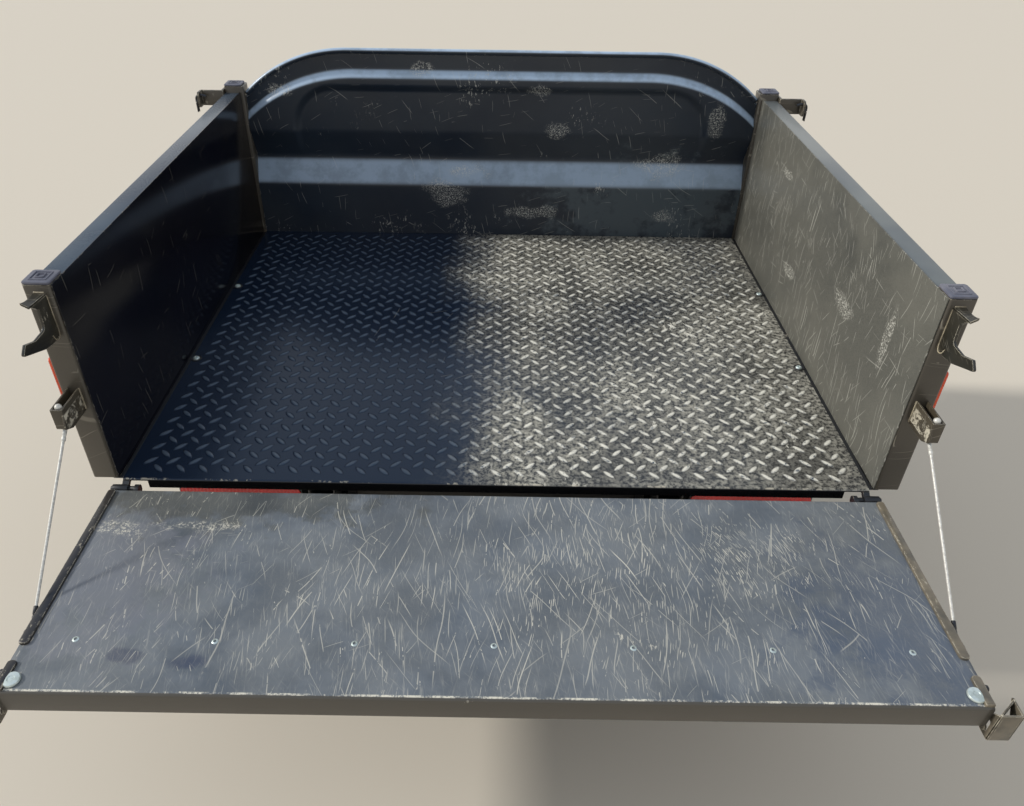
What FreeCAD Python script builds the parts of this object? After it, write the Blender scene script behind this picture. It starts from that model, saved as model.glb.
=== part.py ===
import FreeCAD, Part
# Tipping cargo bed of a side-by-side utility vehicle, with its tailgate let
# down on two stays, on the pivot subframe that bolts to the chassis.
# X is the vehicle's right, Y its front, Z up, in millimetres. The origin is the
# centre of the four chassis bolts, on the underside of the subframe's feet.
import math
import os
from FreeCAD import Vector

# Load space, as seen from the tailgate.
bed_width = 1360.0
bed_length = 1074.0
side_height = 384.0
sheet = 2.0

# Stack under the floor, from its top down.
floor_thick = 3.0
rib_height = 30.0
under_rail_height = 60.0
pad_height = 25.0
pad_length = 60.0
pad_clearance = 0.3
rail_height = 100.0

# Chassis bolts of the subframe.
bolt_spacing_x = 780.0
bolt_spacing_y = 600.0
bolt_hole_r = 6.5
foot_width = 76.0
foot_thick = 8.0
foot_corner_r = 14.0

# Longitudinal members. Rails and under-rails lie on one line, left and right.
rail_spacing = 660.0
rail_width = 60.0
rail_wall = 4.0
under_rail_wall = 3.0
under_rail_inset = 20.0
rail_front_past_bolts = 230.0
pivot_past_bolts = 90.0
floor_rear_past_pivot = 90.0
pivot_drop = 12.0
pivot_pin_r = 10.0
pivot_lug_r = 20.0
running_gap = 0.06
pin_past_ear = 5.0
cheek_thick = 8.0
cheek_gap = 5.0

# Rear corner posts and the side walls' box members.
post_size = 44.0
post_wall = 3.0
post_inset = 3.0
post_over_side = 3.0
cap_height = 5.0
top_rail_size = 40.0
floor_side_gap = 8.0
sill_height = 50.0
sill_rear_inset = 60.0
hem_depth = 20.0
stiffener_count = 3
stiffener_width = 70.0
stiffener_depth = 26.0
reflector_rise = 175.0
reflector_length = 75.0
reflector_width = 34.0
reflector_thick = 6.0

# Tailgate, described level, then let down by its droop.
gate_past_sides = 9.0
gate_past_top = 22.0
gate_thick = 40.0
gate_gap = 21.0
gate_drop = 10.0
gate_droop = 0.3
gate_rail_depth = 30.0
gate_side_width = 30.0
gate_field_inset = 90.0
gate_field_depth = 10.0
lip_width = 14.0
lip_height = 7.0
hinge_y = -11.0
hinge_z = -14.0
hinge_pin_r = 5.0
barrel_r = 8.0
barrel_inset = 20.0
barrel_length = 28.0
hinge_arm_thick = 8.0
hinge_strap_thick = 6.0

# Catches, pockets, stays and latches at the rear posts.
catch_clearance = 3.0
catch_thick = 5.0
catch_roof_width = 20.0
catch_reach = 99.0
latch_bolt_r = 6.0
latch_bolt_past_catch = 18.0
latch_from_end = 51.0
latch_drop = 25.0
lever_thick = 3.0
lever_width = 32.0
lever_past_gate = 12.0
lever_reach = 20.0
lever_height = 58.0
pocket_past_catch = 2.0
pocket_width = 20.0
pocket_wall = 3.0
pocket_depth = 60.0
pocket_low = 159.0
pocket_top = 197.0
stay_r = 2.5
stay_ball_r = 6.0
stay_eye_r = 10.0
stay_eye_width = 7.0
stay_eye_clearance = 3.5
stud_from_end = 113.0
stud_drop = 22.0
stud_r = 5.0

# Headboard, seen from the load space, with heights from the floor.
head_top = 494.0
head_shoulder_from_side = 285.0
head_arch_r = 400.0
head_side_gap = 8.0
head_skirt = 20.0
head_gap = 2.0
ridge_top = 443.0
ridge_face_top = 427.0
ridge_shoulder_from_side = 300.0
ridge_arch_r = 440.0
field_inset = 127.0
field_top = 400.0
field_corner_r = 105.0
field_depth = 12.0
field_slope = 8.0
groove_top = 285.0
groove_low = 143.0
groove_floor_top = 218.0
groove_floor_low = 206.0
groove_depth = 30.0
corner_post_top = 400.0
side_latch_reach = 60.0
side_latch_height = 38.0
drop_pin_r = 4.0
drop_pin_length = 70.0

# Lift cylinder, from the bed's pivot.
lift_base_ahead = 160.0
lift_base_drop = 64.0
lift_eye_ahead = 380.0
lift_eye_rise = 45.0
lift_pin_r = 8.0
lift_eye_r = 18.0
lift_eye_width = 28.0
lift_barrel_r = 25.0
lift_rod_r = 12.5
lift_ear_thick = 8.0
lift_ear_gap = 5.0

# Tail lamps on the rear crossmember.
lamp_inner = 376.0
lamp_outer = 616.0
lamp_depth = 40.0
lamp_height = 102.0
lamp_corner_r = 16.0
lens_thick = 3.0
lens_rise = 26.0
lens_inset = 3.0

# Places that follow from the sizes above.
half_bed = bed_width / 2
head_shoulder = half_bed - head_shoulder_from_side
ridge_shoulder = half_bed - ridge_shoulder_from_side
gate_depth = side_height + gate_past_top
gate_half_width = half_bed + gate_past_sides
barrel_inner = half_bed - barrel_inset
catch_x = gate_half_width + catch_clearance
pocket_x = catch_x + pocket_past_catch
stay_x = pocket_x + pocket_width / 2
stay_eye_x = gate_half_width + stay_eye_clearance + stay_eye_width / 2
latch_bolt_end = catch_x + catch_thick + latch_bolt_past_catch
head_half_width = half_bed - head_side_gap
rail_x = rail_spacing / 2
floor_z = rail_height + pad_height + under_rail_height + rib_height + floor_thick
under_z = floor_z - floor_thick
rib_z = under_z - rib_height
under_rail_z = rib_z - under_rail_height
pivot_y = -bolt_spacing_y / 2 - pivot_past_bolts
pivot_z = rail_height - pivot_drop
tail_y = pivot_y - floor_rear_past_pivot
front_y = tail_y + bed_length
rail_front_y = bolt_spacing_y / 2 + rail_front_past_bolts
post_x = half_bed + sheet
post_rear_y = tail_y + post_inset
post_front_y = post_rear_y + post_size
side_top_z = floor_z + side_height
hinge = Vector(0, tail_y + hinge_y, floor_z + hinge_z)
gate_top_z = floor_z - gate_drop
gate_edge_y = tail_y - gate_gap
gate_end_y = gate_edge_y - gate_depth
lift_base = Vector(0, pivot_y + lift_base_ahead, pivot_z - lift_base_drop)
lift_eye = Vector(0, pivot_y + lift_eye_ahead, pivot_z + lift_eye_rise)


def box(x0, x1, y0, y1, z0, z1):
    return Part.makeBox(x1 - x0, y1 - y0, z1 - z0, Vector(x0, y0, z0))


def rod_x(x0, x1, y, z, r):
    """Round bar along X from x0 to x1."""
    return Part.makeCylinder(r, x1 - x0, Vector(x0, y, z), Vector(1, 0, 0))


def fuse(*solids):
    whole = solids[0]
    for solid in solids[1:]:
        whole = whole.fuse(solid)
    return whole.removeSplitter()


def mirrored(shape):
    """The same piece on the other side of the vehicle's middle plane."""
    return shape.mirror(Vector(0, 0, 0), Vector(1, 0, 0))


def tube_y(x0, x1, y0, y1, z0, z1, wall):
    """Rectangular tube along Y, open at both ends."""
    outer = box(x0, x1, y0, y1, z0, z1)
    return outer.cut(box(x0 + wall, x1 - wall, y0 - 1, y1 + 1, z0 + wall, z1 - wall))


def tube_x(x0, x1, y0, y1, z0, z1, wall):
    """Rectangular tube along X, open at both ends."""
    outer = box(x0, x1, y0, y1, z0, z1)
    return outer.cut(box(x0 - 1, x1 + 1, y0 + wall, y1 - wall, z0 + wall, z1 - wall))


def rounded_wire(corners, place):
    """Closed wire through (u, v, radius) corners; place turns u, v into a point."""
    count = len(corners)
    flat = [Vector(u, v, 0) for u, v, radius in corners]
    edges = []
    starts = []
    ends = []
    for i, (u, v, radius) in enumerate(corners):
        to_last = (flat[i - 1] - flat[i]).normalize()
        to_next = (flat[(i + 1) % count] - flat[i]).normalize()
        half = to_last.getAngle(to_next) / 2
        reach = radius / math.tan(half) if radius else 0.0
        start = flat[i] + to_last * reach
        end = flat[i] + to_next * reach
        starts.append(start)
        ends.append(end)
        if radius:
            bisector = (to_last + to_next).normalize()
            middle = flat[i] + bisector * (radius / math.sin(half) - radius)
            arc = Part.Arc(place(start), place(middle), place(end))
            edges.append((i, arc.toShape()))
    ordered = []
    for i in range(count):
        ordered += [arc for corner, arc in edges if corner == i]
        line_start = ends[i]
        line_end = starts[(i + 1) % count]
        if (line_end - line_start).Length > 1e-6:
            ordered.append(Part.LineSegment(place(line_start), place(line_end)).toShape())
    return Part.Wire(ordered)


def in_xz(y):
    return lambda p: Vector(p.x, y, p.y)


def in_yz(x):
    return lambda p: Vector(x, p.x, p.y)


def plate_xz(corners, y0, y1):
    """Plate with its outline in X and Z, from y0 to y1."""
    face = Part.Face(rounded_wire(corners, in_xz(y0)))
    return face.extrude(Vector(0, y1 - y0, 0))


def plate_yz(corners, x0, x1):
    """Plate with its outline in Y and Z, from x0 to x1."""
    face = Part.Face(rounded_wire(corners, in_yz(x0)))
    return face.extrude(Vector(x1 - x0, 0, 0))


# Subframe.
def frame_rail():
    """Right rail: tube, notched for the pivot lug, on two bolted feet."""
    x0 = rail_x - rail_width / 2
    x1 = rail_x + rail_width / 2
    rear = pivot_y + pivot_lug_r
    rail = tube_y(x0, x1, rear, rail_front_y, 0, rail_height, rail_wall)
    lug_way = pivot_y + pivot_lug_r * 2
    rail = rail.cut(box(x0 - 1, x1 + 1, rear - 1, lug_way, rail_height / 2, rail_height + 1))
    for y in (-bolt_spacing_y / 2, bolt_spacing_y / 2):
        foot_x = bolt_spacing_x / 2
        end = foot_x + foot_width / 3
        outline = [(x1, -foot_width / 2, 0), (end, -foot_width / 2, foot_corner_r),
                   (end, foot_width / 2, foot_corner_r), (x1, foot_width / 2, 0)]
        wire = rounded_wire(outline, lambda p, y=y: Vector(p.x, y + p.y, 0))
        foot = Part.Face(wire).extrude(Vector(0, 0, foot_thick))
        hole = Part.makeCylinder(bolt_hole_r, foot_thick + 2, Vector(foot_x, y, -1))
        rail = rail.fuse(foot.cut(hole))
    return rail.removeSplitter()


cross_x = rail_x - rail_width / 2
cross_size = 50.0
cross_wall = 3.0
cross_past_lamp = 10.0
cross_front_inset = 30.0
rear_cross_y = pivot_y + pivot_lug_r - cross_size
mid_cross_y = lift_base.y - lift_eye_r - 12 - cross_size
cheek_low = 20.0
cheek_toe = 60.0


def pivot_bracket():
    """Two cheeks either side of the right lug, on the rear crossmember, and the pin."""
    lug_half = rail_width / 2
    top = pivot_z + pivot_lug_r
    back = pivot_y - pivot_lug_r
    ahead = mid_cross_y - pivot_lug_r * 0.3
    outline = [(back, cross_size, 0), (pivot_y + pivot_lug_r, cross_size, 0),
               (pivot_y + pivot_lug_r, cheek_low, 0), (ahead, cheek_low, pivot_lug_r * 0.5),
               (ahead, cheek_toe, pivot_lug_r * 0.7), (pivot_y + pivot_lug_r * 2, top, pivot_lug_r),
               (back, top, pivot_lug_r - 2)]
    inner = plate_yz(outline, rail_x - lug_half - cheek_thick, rail_x - lug_half)
    outer = plate_yz(outline, rail_x + lug_half, rail_x + lug_half + cheek_thick)
    reach = lug_half + cheek_thick + pin_past_ear
    pin = rod_x(rail_x - reach, rail_x + reach, pivot_y, pivot_z, pivot_pin_r)
    return fuse(inner, outer, pin)


def rear_crossmember():
    half = lamp_outer + cross_past_lamp
    return tube_x(-half, half, rear_cross_y, rear_cross_y + cross_size, 0, cross_size, cross_wall)


def front_crossmember():
    y1 = rail_front_y - cross_front_inset
    low = (rail_height - cross_size) / 2
    return tube_x(-cross_x, cross_x, y1 - cross_size, y1, low, low + cross_size, cross_wall)


def middle_crossmember():
    """Carries the lift cylinder's base between two ears with a pin."""
    y1 = mid_cross_y + cross_size
    tube = tube_x(-cross_x, cross_x, mid_cross_y, y1, 0, cross_size, cross_wall)
    ear_x = lift_eye_width / 2 + lift_ear_gap
    outline = [(y1, lift_base.z - lift_eye_r, 0),
               (lift_base.y + lift_eye_r, lift_base.z - lift_eye_r, lift_eye_r - 1),
               (lift_base.y + lift_eye_r, lift_base.z + lift_eye_r, lift_eye_r - 1),
               (y1, lift_base.z + lift_eye_r, 0)]
    ears = [plate_yz(outline, ear_x, ear_x + lift_ear_thick),
            plate_yz(outline, -ear_x - lift_ear_thick, -ear_x)]
    reach = ear_x + lift_ear_thick + pin_past_ear
    pin = rod_x(-reach, reach, lift_base.y, lift_base.z, lift_pin_r)
    return fuse(tube, *ears, pin)


def rest_pads():
    """Rubber blocks on the rails that the lowered bed lies on."""
    pads = []
    half = rail_width / 2 - rail_wall * 1.5
    long = pad_length / 2
    top = under_rail_z - pad_clearance
    for x in (-rail_x, rail_x):
        for y in (-bolt_spacing_y / 2 + pad_length, rail_front_y - pad_length):
            pads.append(box(x - half, x + half, y - long, y + long, rail_height, top))
    return Part.makeCompound(pads)


lamp_y0 = rear_cross_y + cross_size * 0.3


def tail_lamp():
    """Lamp housing standing on the right end of the rear crossmember."""
    outline = [(lamp_inner, cross_size, 0), (lamp_outer, cross_size, 0),
               (lamp_outer, cross_size + lamp_height, lamp_corner_r),
               (lamp_inner, cross_size + lamp_height, lamp_corner_r)]
    return plate_xz(outline, lamp_y0, lamp_y0 + lamp_depth)


def tail_lens():
    low = cross_size + lens_rise
    high = cross_size + lamp_height - lens_inset
    corner_r = lamp_corner_r - lens_inset
    outline = [(x, z, corner_r) for x, z in ((lamp_inner + lens_inset, low), (lamp_outer - lens_inset, low),
                                             (lamp_outer - lens_inset, high),
                                             (lamp_inner + lens_inset, high))]
    return plate_xz(outline, lamp_y0 - lens_thick, lamp_y0)


# Bed.
def floor_plate():
    """Tread plate with a folded hem behind, which stops short of the hinges."""
    half = half_bed - floor_side_gap
    plate = box(-half, half, tail_y, front_y, under_z, floor_z)
    hem_half = barrel_inner - hinge_arm_thick * 4
    hem = box(-hem_half, hem_half, tail_y, tail_y + floor_thick, floor_z - hem_depth, under_z)
    return fuse(plate, hem)


def under_rail():
    """Right member under the floor, with the lug that turns on the pivot pin."""
    x0 = rail_x - rail_width / 2 + cheek_gap
    x1 = rail_x + rail_width / 2 - cheek_gap
    rear = tail_y + floor_rear_past_pivot / 2
    rail = tube_y(x0, x1, rear, front_y - under_rail_inset, under_rail_z, rib_z, under_rail_wall)
    lug = plate_yz([(pivot_y - pivot_lug_r * 2, under_rail_z, 0),
                    (pivot_y - pivot_lug_r, pivot_z - pivot_lug_r, pivot_lug_r - 1),
                    (pivot_y + pivot_lug_r, pivot_z - pivot_lug_r, pivot_lug_r - 1),
                    (pivot_y + pivot_lug_r * 1.7, under_rail_z, 0)], x0, x1)
    bore = rod_x(x0 - 1, x1 + 1, pivot_y, pivot_z, pivot_pin_r + running_gap)
    return fuse(rail, lug).cut(bore)


rib_count = 6
rib_width = 50.0
rib_first = 60.0


def cross_ribs():
    """Hat-shaped ribs across the bed, from sill to sill under the floor."""
    ribs = []
    pitch = (bed_length - 2 * rib_first - rib_width) / (rib_count - 1)
    for i in range(rib_count):
        y0 = tail_y + rib_first + i * pitch
        ribs.append(tube_x(-half_bed, half_bed, y0, y0 + rib_width, rib_z, under_z, sheet))
    return Part.makeCompound(ribs)


def side_sill():
    y0 = tail_y + sill_rear_inset
    y1 = front_y + head_gap
    return tube_y(post_x, post_x + post_size, y0, y1, under_z - sill_height, under_z, sheet)


def side_wall():
    """Right inner sheet with upright stiffeners outside it."""
    sheet_top = side_top_z + post_over_side
    wall = plate_yz([(post_rear_y + sheet, floor_z, 0), (tail_y + sill_rear_inset, floor_z, 0),
                     (tail_y + sill_rear_inset, rib_z, 0), (front_y, rib_z, 0),
                     (front_y, sheet_top, 0), (post_rear_y + sheet, sheet_top, 0)],
                    half_bed, post_x)
    pieces = [wall]
    pitch = (bed_length - post_size) / (stiffener_count + 1)
    for i in range(stiffener_count):
        y0 = post_front_y + (i + 1) * pitch - stiffener_width / 2 - post_size / 2
        y1 = y0 + stiffener_width
        x1 = post_x + stiffener_depth
        stiffener = box(post_x, x1, y0, y1, under_z, side_top_z - top_rail_size)
        hollow = box(post_x, x1 - sheet, y0 + sheet, y1 - sheet, under_z - 1, side_top_z)
        pieces.append(stiffener.cut(hollow))
    return fuse(*pieces)


def side_top_rail():
    return tube_y(post_x, post_x + top_rail_size, post_front_y, front_y + head_gap,
                  side_top_z - top_rail_size, side_top_z, sheet)


def rear_post():
    x1 = post_x + post_size
    outer = box(post_x, x1, post_rear_y, post_front_y, floor_z, side_top_z + post_over_side)
    inner = box(post_x + post_wall, x1 - post_wall, post_rear_y + post_wall,
                post_front_y - post_wall, floor_z - 1, side_top_z + post_over_side + 1)
    return outer.cut(inner)


def post_cap(x0, y0, z):
    """Moulded cap with two raised frames on its top."""
    outline = box(x0, x0 + post_size, y0, y0 + post_size, z, z + cap_height)
    cap = outline.makeFillet(2.5, [e for e in outline.Edges
                                   if min(v.Point.z for v in e.Vertexes) > z + cap_height - 0.1])
    top = z + cap_height
    for inset, rise in ((8, 1.2), (15, 2.0)):
        within = inset + post_wall
        ring = box(x0 + inset, x0 + post_size - inset, y0 + inset, y0 + post_size - inset,
                   top, top + rise)
        hole = box(x0 + within, x0 + post_size - within, y0 + within, y0 + post_size - within,
                   top - 1, top + rise + 1)
        cap = cap.fuse(ring.cut(hole))
    return cap.removeSplitter()


def gate_catch():
    """Right hook plate behind the post that holds the tailgate's latch bolt.
    Its heights count from where the bolt is with the gate closed."""
    scale = catch_reach / 99
    bolt_z = hinge.z + math.hypot(hinge.y - latch_bolt_y, latch_drop)

    def at(y, z, radius):
        return (tail_y + y * scale, bolt_z + z * scale, radius * scale)
    outline = [(post_rear_y, bolt_z - 52 * scale, 0), (post_rear_y, bolt_z + 22 * scale, 0),
               at(-48, 26, 1.5), at(-26, 9, 3), at(-28, -24, 8), at(-60, -25, 12), at(-86, -16, 3),
               at(-99, -29, 3), at(-44, -50, 14), at(-20, -54, 10)]
    web = plate_yz(outline, catch_x, catch_x + catch_thick)
    roof = [(post_rear_y, bolt_z + 18 * scale, 0), (post_rear_y, bolt_z + 22 * scale, 0),
            at(-48, 26, 0), at(-48, 22, 0)]
    return fuse(web, plate_yz(roof, catch_x, catch_x + catch_roof_width))


def stay_bracket():
    """Right pocket for the stay's ball: two walls, a closed back, open above and below."""
    x0 = pocket_x
    x1 = x0 + pocket_width
    y0 = tail_y - pocket_depth
    z0 = floor_z + pocket_low
    z1 = floor_z + pocket_top
    low = z0 - 7
    pocket = box(x0, x1, y0, post_rear_y, z0, z1)
    pocket = pocket.cut(box(x0 + pocket_wall, x1 - pocket_wall, y0 + pocket_wall, post_rear_y + 1,
                            z0 - 1, z1 + 1))
    lobe = plate_yz([(post_rear_y, low, 0), (y0 + 14, low, 10), (y0 - 7, z0 + 4, 4),
                     (y0, z1 - 10, 0), (post_rear_y, z1 - 10, 0)], x0, x0 + pocket_wall)
    dome = rod_x(x0 - 2, x0, tail_y - pocket_depth * 0.6, (z0 + z1 - 4) / 2, 10.5)
    return fuse(pocket, lobe, dome)


def side_reflector():
    x0 = post_x + post_size
    y0 = post_rear_y + (post_size - reflector_width) / 2
    y1 = y0 + reflector_width
    z0 = floor_z + reflector_rise
    z1 = z0 + reflector_length
    outline = [(y, z, reflector_thick - 1) for y, z in ((y0, z0), (y1, z0), (y1, z1), (y0, z1))]
    return plate_yz(outline, x0, x0 + reflector_thick)


def corner_post():
    """Right post behind the headboard's end."""
    x1 = post_x + top_rail_size
    y0 = front_y + head_gap
    low = under_z - sill_height
    high = floor_z + corner_post_top
    outer = box(head_half_width, x1, y0, y0 + post_size, low, high)
    inner = box(head_half_width + post_wall, x1 - post_wall, y0 + post_wall,
                y0 + post_size - post_wall, low - 1, high + 1)
    return outer.cut(inner)


def side_latch():
    """Right fixed plate and drop pin that hold the side to the corner post."""
    thick = catch_thick
    x0 = post_x + top_rail_size
    x1 = x0 + side_latch_reach
    pin_from_plate = drop_pin_length / 5
    y0 = front_y - pin_from_plate
    z0 = side_top_z - pin_from_plate * 2
    z1 = z0 + side_latch_height
    plate = box(x0, x1, y0, y0 + thick, z0, z1)
    tab = box(x1 - thick, x1, y0 - side_latch_reach * 0.4, y0, z0, z1)
    foot = box(x0, x0 + thick, y0 + thick, front_y + head_gap + side_latch_reach / 3,
               z0, z1)
    pin_x = x1 + drop_pin_r + 2
    pin = Part.makeCylinder(drop_pin_r, drop_pin_length,
                            Vector(pin_x, y0 - pin_from_plate, z0 - drop_pin_length * 4 / 7))
    boss = rod_x(x1 - 2, pin_x, y0 - pin_from_plate, z0 + pin_from_plate, drop_pin_r + 1)
    return fuse(plate, tab, foot, pin, boss)


def gate_hinge():
    """Right fixed barrel with the strap that carries it under the floor's corner."""
    barrel = rod_x(barrel_inner, barrel_inner + barrel_length, hinge.y, hinge.z, barrel_r)
    ahead = tail_y + rib_first
    low = under_z - hinge_strap_thick
    outline = [(hinge.y + 3, hinge.z + barrel_r - 1, 0), (tail_y - 2, under_z, 0), (ahead, under_z, 0),
               (ahead, low, 0), (tail_y + 3, low, 0), (hinge.y + barrel_r - 1, hinge.z, 0)]
    strap = plate_yz(outline, barrel_inner, half_bed - floor_side_gap)
    bore = rod_x(barrel_inner - 1, barrel_inner + barrel_length + 1, hinge.y, hinge.z,
                 hinge_pin_r + running_gap)
    return fuse(barrel, strap).cut(bore)


def lift_bracket():
    """Plate between the under-rails with the two ears at the cylinder's eye."""
    x_half = rail_x - rail_width / 2 + cheek_gap
    half_y = 40.0
    plate_thick = 8.0
    drop = rib_z - plate_thick
    plate = box(-x_half, x_half, lift_eye.y - half_y, lift_eye.y + half_y, drop, rib_z)
    ear_x = lift_eye_width / 2 + lift_ear_gap
    ear_end = ear_x + lift_ear_thick
    outline = [(lift_eye.y - half_y, drop, 0),
               (lift_eye.y - lift_eye_r, lift_eye.z - lift_eye_r, lift_eye_r - 1),
               (lift_eye.y + lift_eye_r, lift_eye.z - lift_eye_r, lift_eye_r - 1),
               (lift_eye.y + half_y, drop, 0)]
    ears = [plate_yz(outline, ear_x, ear_end), plate_yz(outline, -ear_end, -ear_x)]
    seat = rod_x(-ear_end - 1, ear_end + 1, lift_eye.y, lift_eye.z, lift_pin_r + running_gap)
    return fuse(plate, *ears).cut(seat)


def loft_between(corners_low, corners_high, place_low, place_high):
    """Solid between two like outlines on parallel planes."""
    wires = [rounded_wire(corners_low, place_low), rounded_wire(corners_high, place_high)]
    return Part.makeLoft(wires, True, True)


def skin_of(block, step):
    """Sheet pressed to the block's face: what one step along leaves uncovered."""
    return block.cut(block.translated(step))


def mirrored_outline(corners):
    """Adds the left half of an outline given as its right half, from the bottom up."""
    return corners + [(-u, v, radius) for u, v, radius in reversed(corners)]


head_face = front_y + head_gap
head_skin = 2.5
head_roll_r = 7.0
head_rim_step = 14.0
head_block = 70.0


def arch_outline(half, bottom, shoulder, top, radius):
    """Half outline of an arch whose flat top ends at the shoulder in an arc."""
    angle = math.asin((half - shoulder) / (radius + 2))
    corner = shoulder + radius * math.tan(angle / 2)
    side_top = top - (half - corner) * math.tan(angle)
    return [(half, bottom, 0), (half, side_top, 0), (corner, top, radius)]


def headboard():
    """Pressed panel: arched rim with a rolled edge, a ridge under it that follows
    the arch, a sunk field with round upper corners and a cross groove below."""
    z0 = floor_z
    rim_y = head_face + head_rim_step
    back = head_face + head_block
    bottom = z0 - head_skirt
    rim = arch_outline(head_half_width, bottom, head_shoulder, z0 + head_top, head_arch_r)
    block = plate_xz(mirrored_outline(rim), rim_y, back)
    ridge_low = arch_outline(head_half_width, bottom, ridge_shoulder, z0 + ridge_face_top, ridge_arch_r)
    ridge_high = arch_outline(head_half_width, bottom, ridge_shoulder, z0 + ridge_top, ridge_arch_r)
    ridge = loft_between(mirrored_outline(ridge_low), mirrored_outline(ridge_high),
                         in_xz(head_face), in_xz(rim_y))
    block = block.fuse(ridge)
    half = head_half_width - field_inset
    open_z = z0 + (groove_top + groove_floor_top) / 2
    field_y = head_face + field_depth
    edge = [(half, open_z, 0), (half, z0 + field_top, field_corner_r)]
    half -= field_slope
    floor = [(half, open_z, 0), (half, z0 + field_top - field_slope, field_corner_r - field_slope)]
    field = loft_between(mirrored_outline(edge), mirrored_outline(floor), in_xz(head_face), in_xz(field_y))
    block = block.cut(field)
    deep = head_face + groove_depth
    flank = [(half, z0 + groove_floor_low, 0), (half, z0 + groove_top, 0)]
    half -= field_slope
    flank_end = [(half, z0 + groove_floor_low, 0), (half, z0 + groove_floor_top, 0)]
    block = block.cut(loft_between(mirrored_outline(flank), mirrored_outline(flank_end),
                                   in_xz(field_y), in_xz(deep)))
    groove = plate_yz([(head_face - 1, z0 + groove_low, 0), (deep, z0 + groove_floor_low, 5),
                       (deep, z0 + groove_floor_top, 5), (head_face - 1, z0 + groove_top, 0)],
                      -head_half_width - 1, head_half_width + 1)
    block = block.cut(groove)
    panel = skin_of(block, Vector(0, head_skin, 0))
    side_top = rim[1][1]
    pieces = [panel]
    flange_top = side_top - head_roll_r + 1
    for x in (head_half_width - sheet, -head_half_width):
        pieces.append(box(x, x + sheet, head_face, head_face + post_size, bottom, flange_top))
    pieces.append(edge_roll(rim))
    return fuse(*pieces)


def edge_roll(rim):
    """Round hem along the arch."""
    half, side_top, _ = rim[1]
    corner, top, radius = rim[2]
    angle = math.atan2(top - side_top, half - corner)
    inset = head_roll_r - 1.5
    radius -= inset
    y = head_face + head_rim_step + head_skin / 2
    centre_x = corner - (radius + inset) * math.tan(angle / 2)
    centre_z = top - inset - radius

    def on_arc(a, side):
        return Vector(side * (centre_x + radius * math.sin(a)), y, centre_z + radius * math.cos(a))

    edges = []
    left = Part.Arc(on_arc(angle, -1), on_arc(angle / 2, -1), on_arc(0, -1)).toShape()
    straight = Part.LineSegment(on_arc(0, -1), on_arc(0, 1)).toShape()
    right = Part.Arc(on_arc(0, 1), on_arc(angle / 2, 1), on_arc(angle, 1)).toShape()
    edges += [left, straight, right]
    start = on_arc(angle, -1)
    along = Vector(math.cos(angle), 0, math.sin(angle))
    circle = Part.Wire([Part.Circle(start, along, head_roll_r).toShape()])
    return Part.Wire(edges).makePipeShell([circle], True, False)


# Tailgate, drawn level and then let down about its hinge.
def let_down(shape):
    return shape.rotated(hinge, Vector(1, 0, 0), gate_droop)


gate_low_z = gate_top_z - gate_thick
frame_low_z = gate_low_z + sheet
frame_high_z = gate_top_z - sheet


def in_xy(z):
    return lambda p: Vector(p.x, p.y, z)


latch_bolt_y = gate_end_y + latch_from_end
latch_bolt_z = hinge.z - latch_drop
stud_y = gate_end_y + stud_from_end
stud_z = gate_top_z - stud_drop
lip_gap_half = 14.0


def gate_inner_skin():
    """Inner sheet with a hollow lip along each side, which leaves the latch bolt free."""
    pieces = [box(-gate_half_width, gate_half_width, gate_end_y, gate_edge_y,
                  frame_high_z, gate_top_z)]
    x0 = gate_half_width - lip_width
    for y0, y1 in ((gate_end_y, latch_bolt_y - lip_gap_half),
                   (latch_bolt_y + lip_gap_half, gate_edge_y - sheet)):
        lip = tube_y(x0, gate_half_width, y0, y1, frame_high_z, gate_top_z + lip_height, sheet)
        pieces += [lip, mirrored(lip)]
    return let_down(fuse(*pieces))


def gate_outer_skin():
    """Outer sheet with a long pressed field."""
    block = box(-gate_half_width, gate_half_width, gate_end_y, gate_edge_y,
                gate_low_z, gate_top_z)
    low_y = gate_end_y + gate_field_inset
    high_y = gate_edge_y - gate_field_inset
    half = gate_half_width - gate_field_inset - gate_side_width
    depth = gate_field_depth
    mouth = [(half, low_y, depth * 4), (half, high_y, depth * 4)]
    floor = [(half - depth, low_y + depth, depth * 3), (half - depth, high_y - depth, depth * 3)]
    field = loft_between(mirrored_outline(mouth), mirrored_outline(floor),
                         in_xy(gate_low_z), in_xy(gate_low_z + depth))
    block = block.cut(field)
    return let_down(skin_of(block, Vector(0, 0, sheet)))


def gate_top_rail():
    return let_down(tube_x(-gate_half_width, gate_half_width, gate_end_y,
                           gate_end_y + gate_rail_depth, frame_low_z, frame_high_z, sheet))


def gate_bottom_rail():
    """Closed rail along the hinge edge, with an arm and a pin at each end."""
    half = gate_half_width - gate_side_width
    rail = tube_x(-half, half, gate_edge_y - gate_rail_depth, gate_edge_y - 2,
                  frame_low_z, frame_high_z, sheet)
    pieces = [rail]
    for side in (1, -1):
        x0 = barrel_inner - 12 - hinge_arm_thick
        x1 = x0 + hinge_arm_thick
        arm = plate_yz([(gate_edge_y - 6, hinge.z - barrel_r * 2, 0),
                        (hinge.y + barrel_r, hinge.z - barrel_r, barrel_r - 0.5),
                        (hinge.y + barrel_r, hinge.z + barrel_r, barrel_r - 0.5),
                        (hinge.y - barrel_r, hinge.z + barrel_r, barrel_r - 0.5),
                        (gate_edge_y + 0.2, frame_high_z, 0),
                        (gate_edge_y - 6, frame_high_z, 0)], x0, x1)
        pin = rod_x(x1 - 1, barrel_inner + barrel_length + 3, hinge.y, hinge.z, hinge_pin_r)
        piece = fuse(arm, pin)
        if side < 0:
            piece = mirrored(piece)
        pieces.append(piece)
    return let_down(fuse(*pieces))


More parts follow.
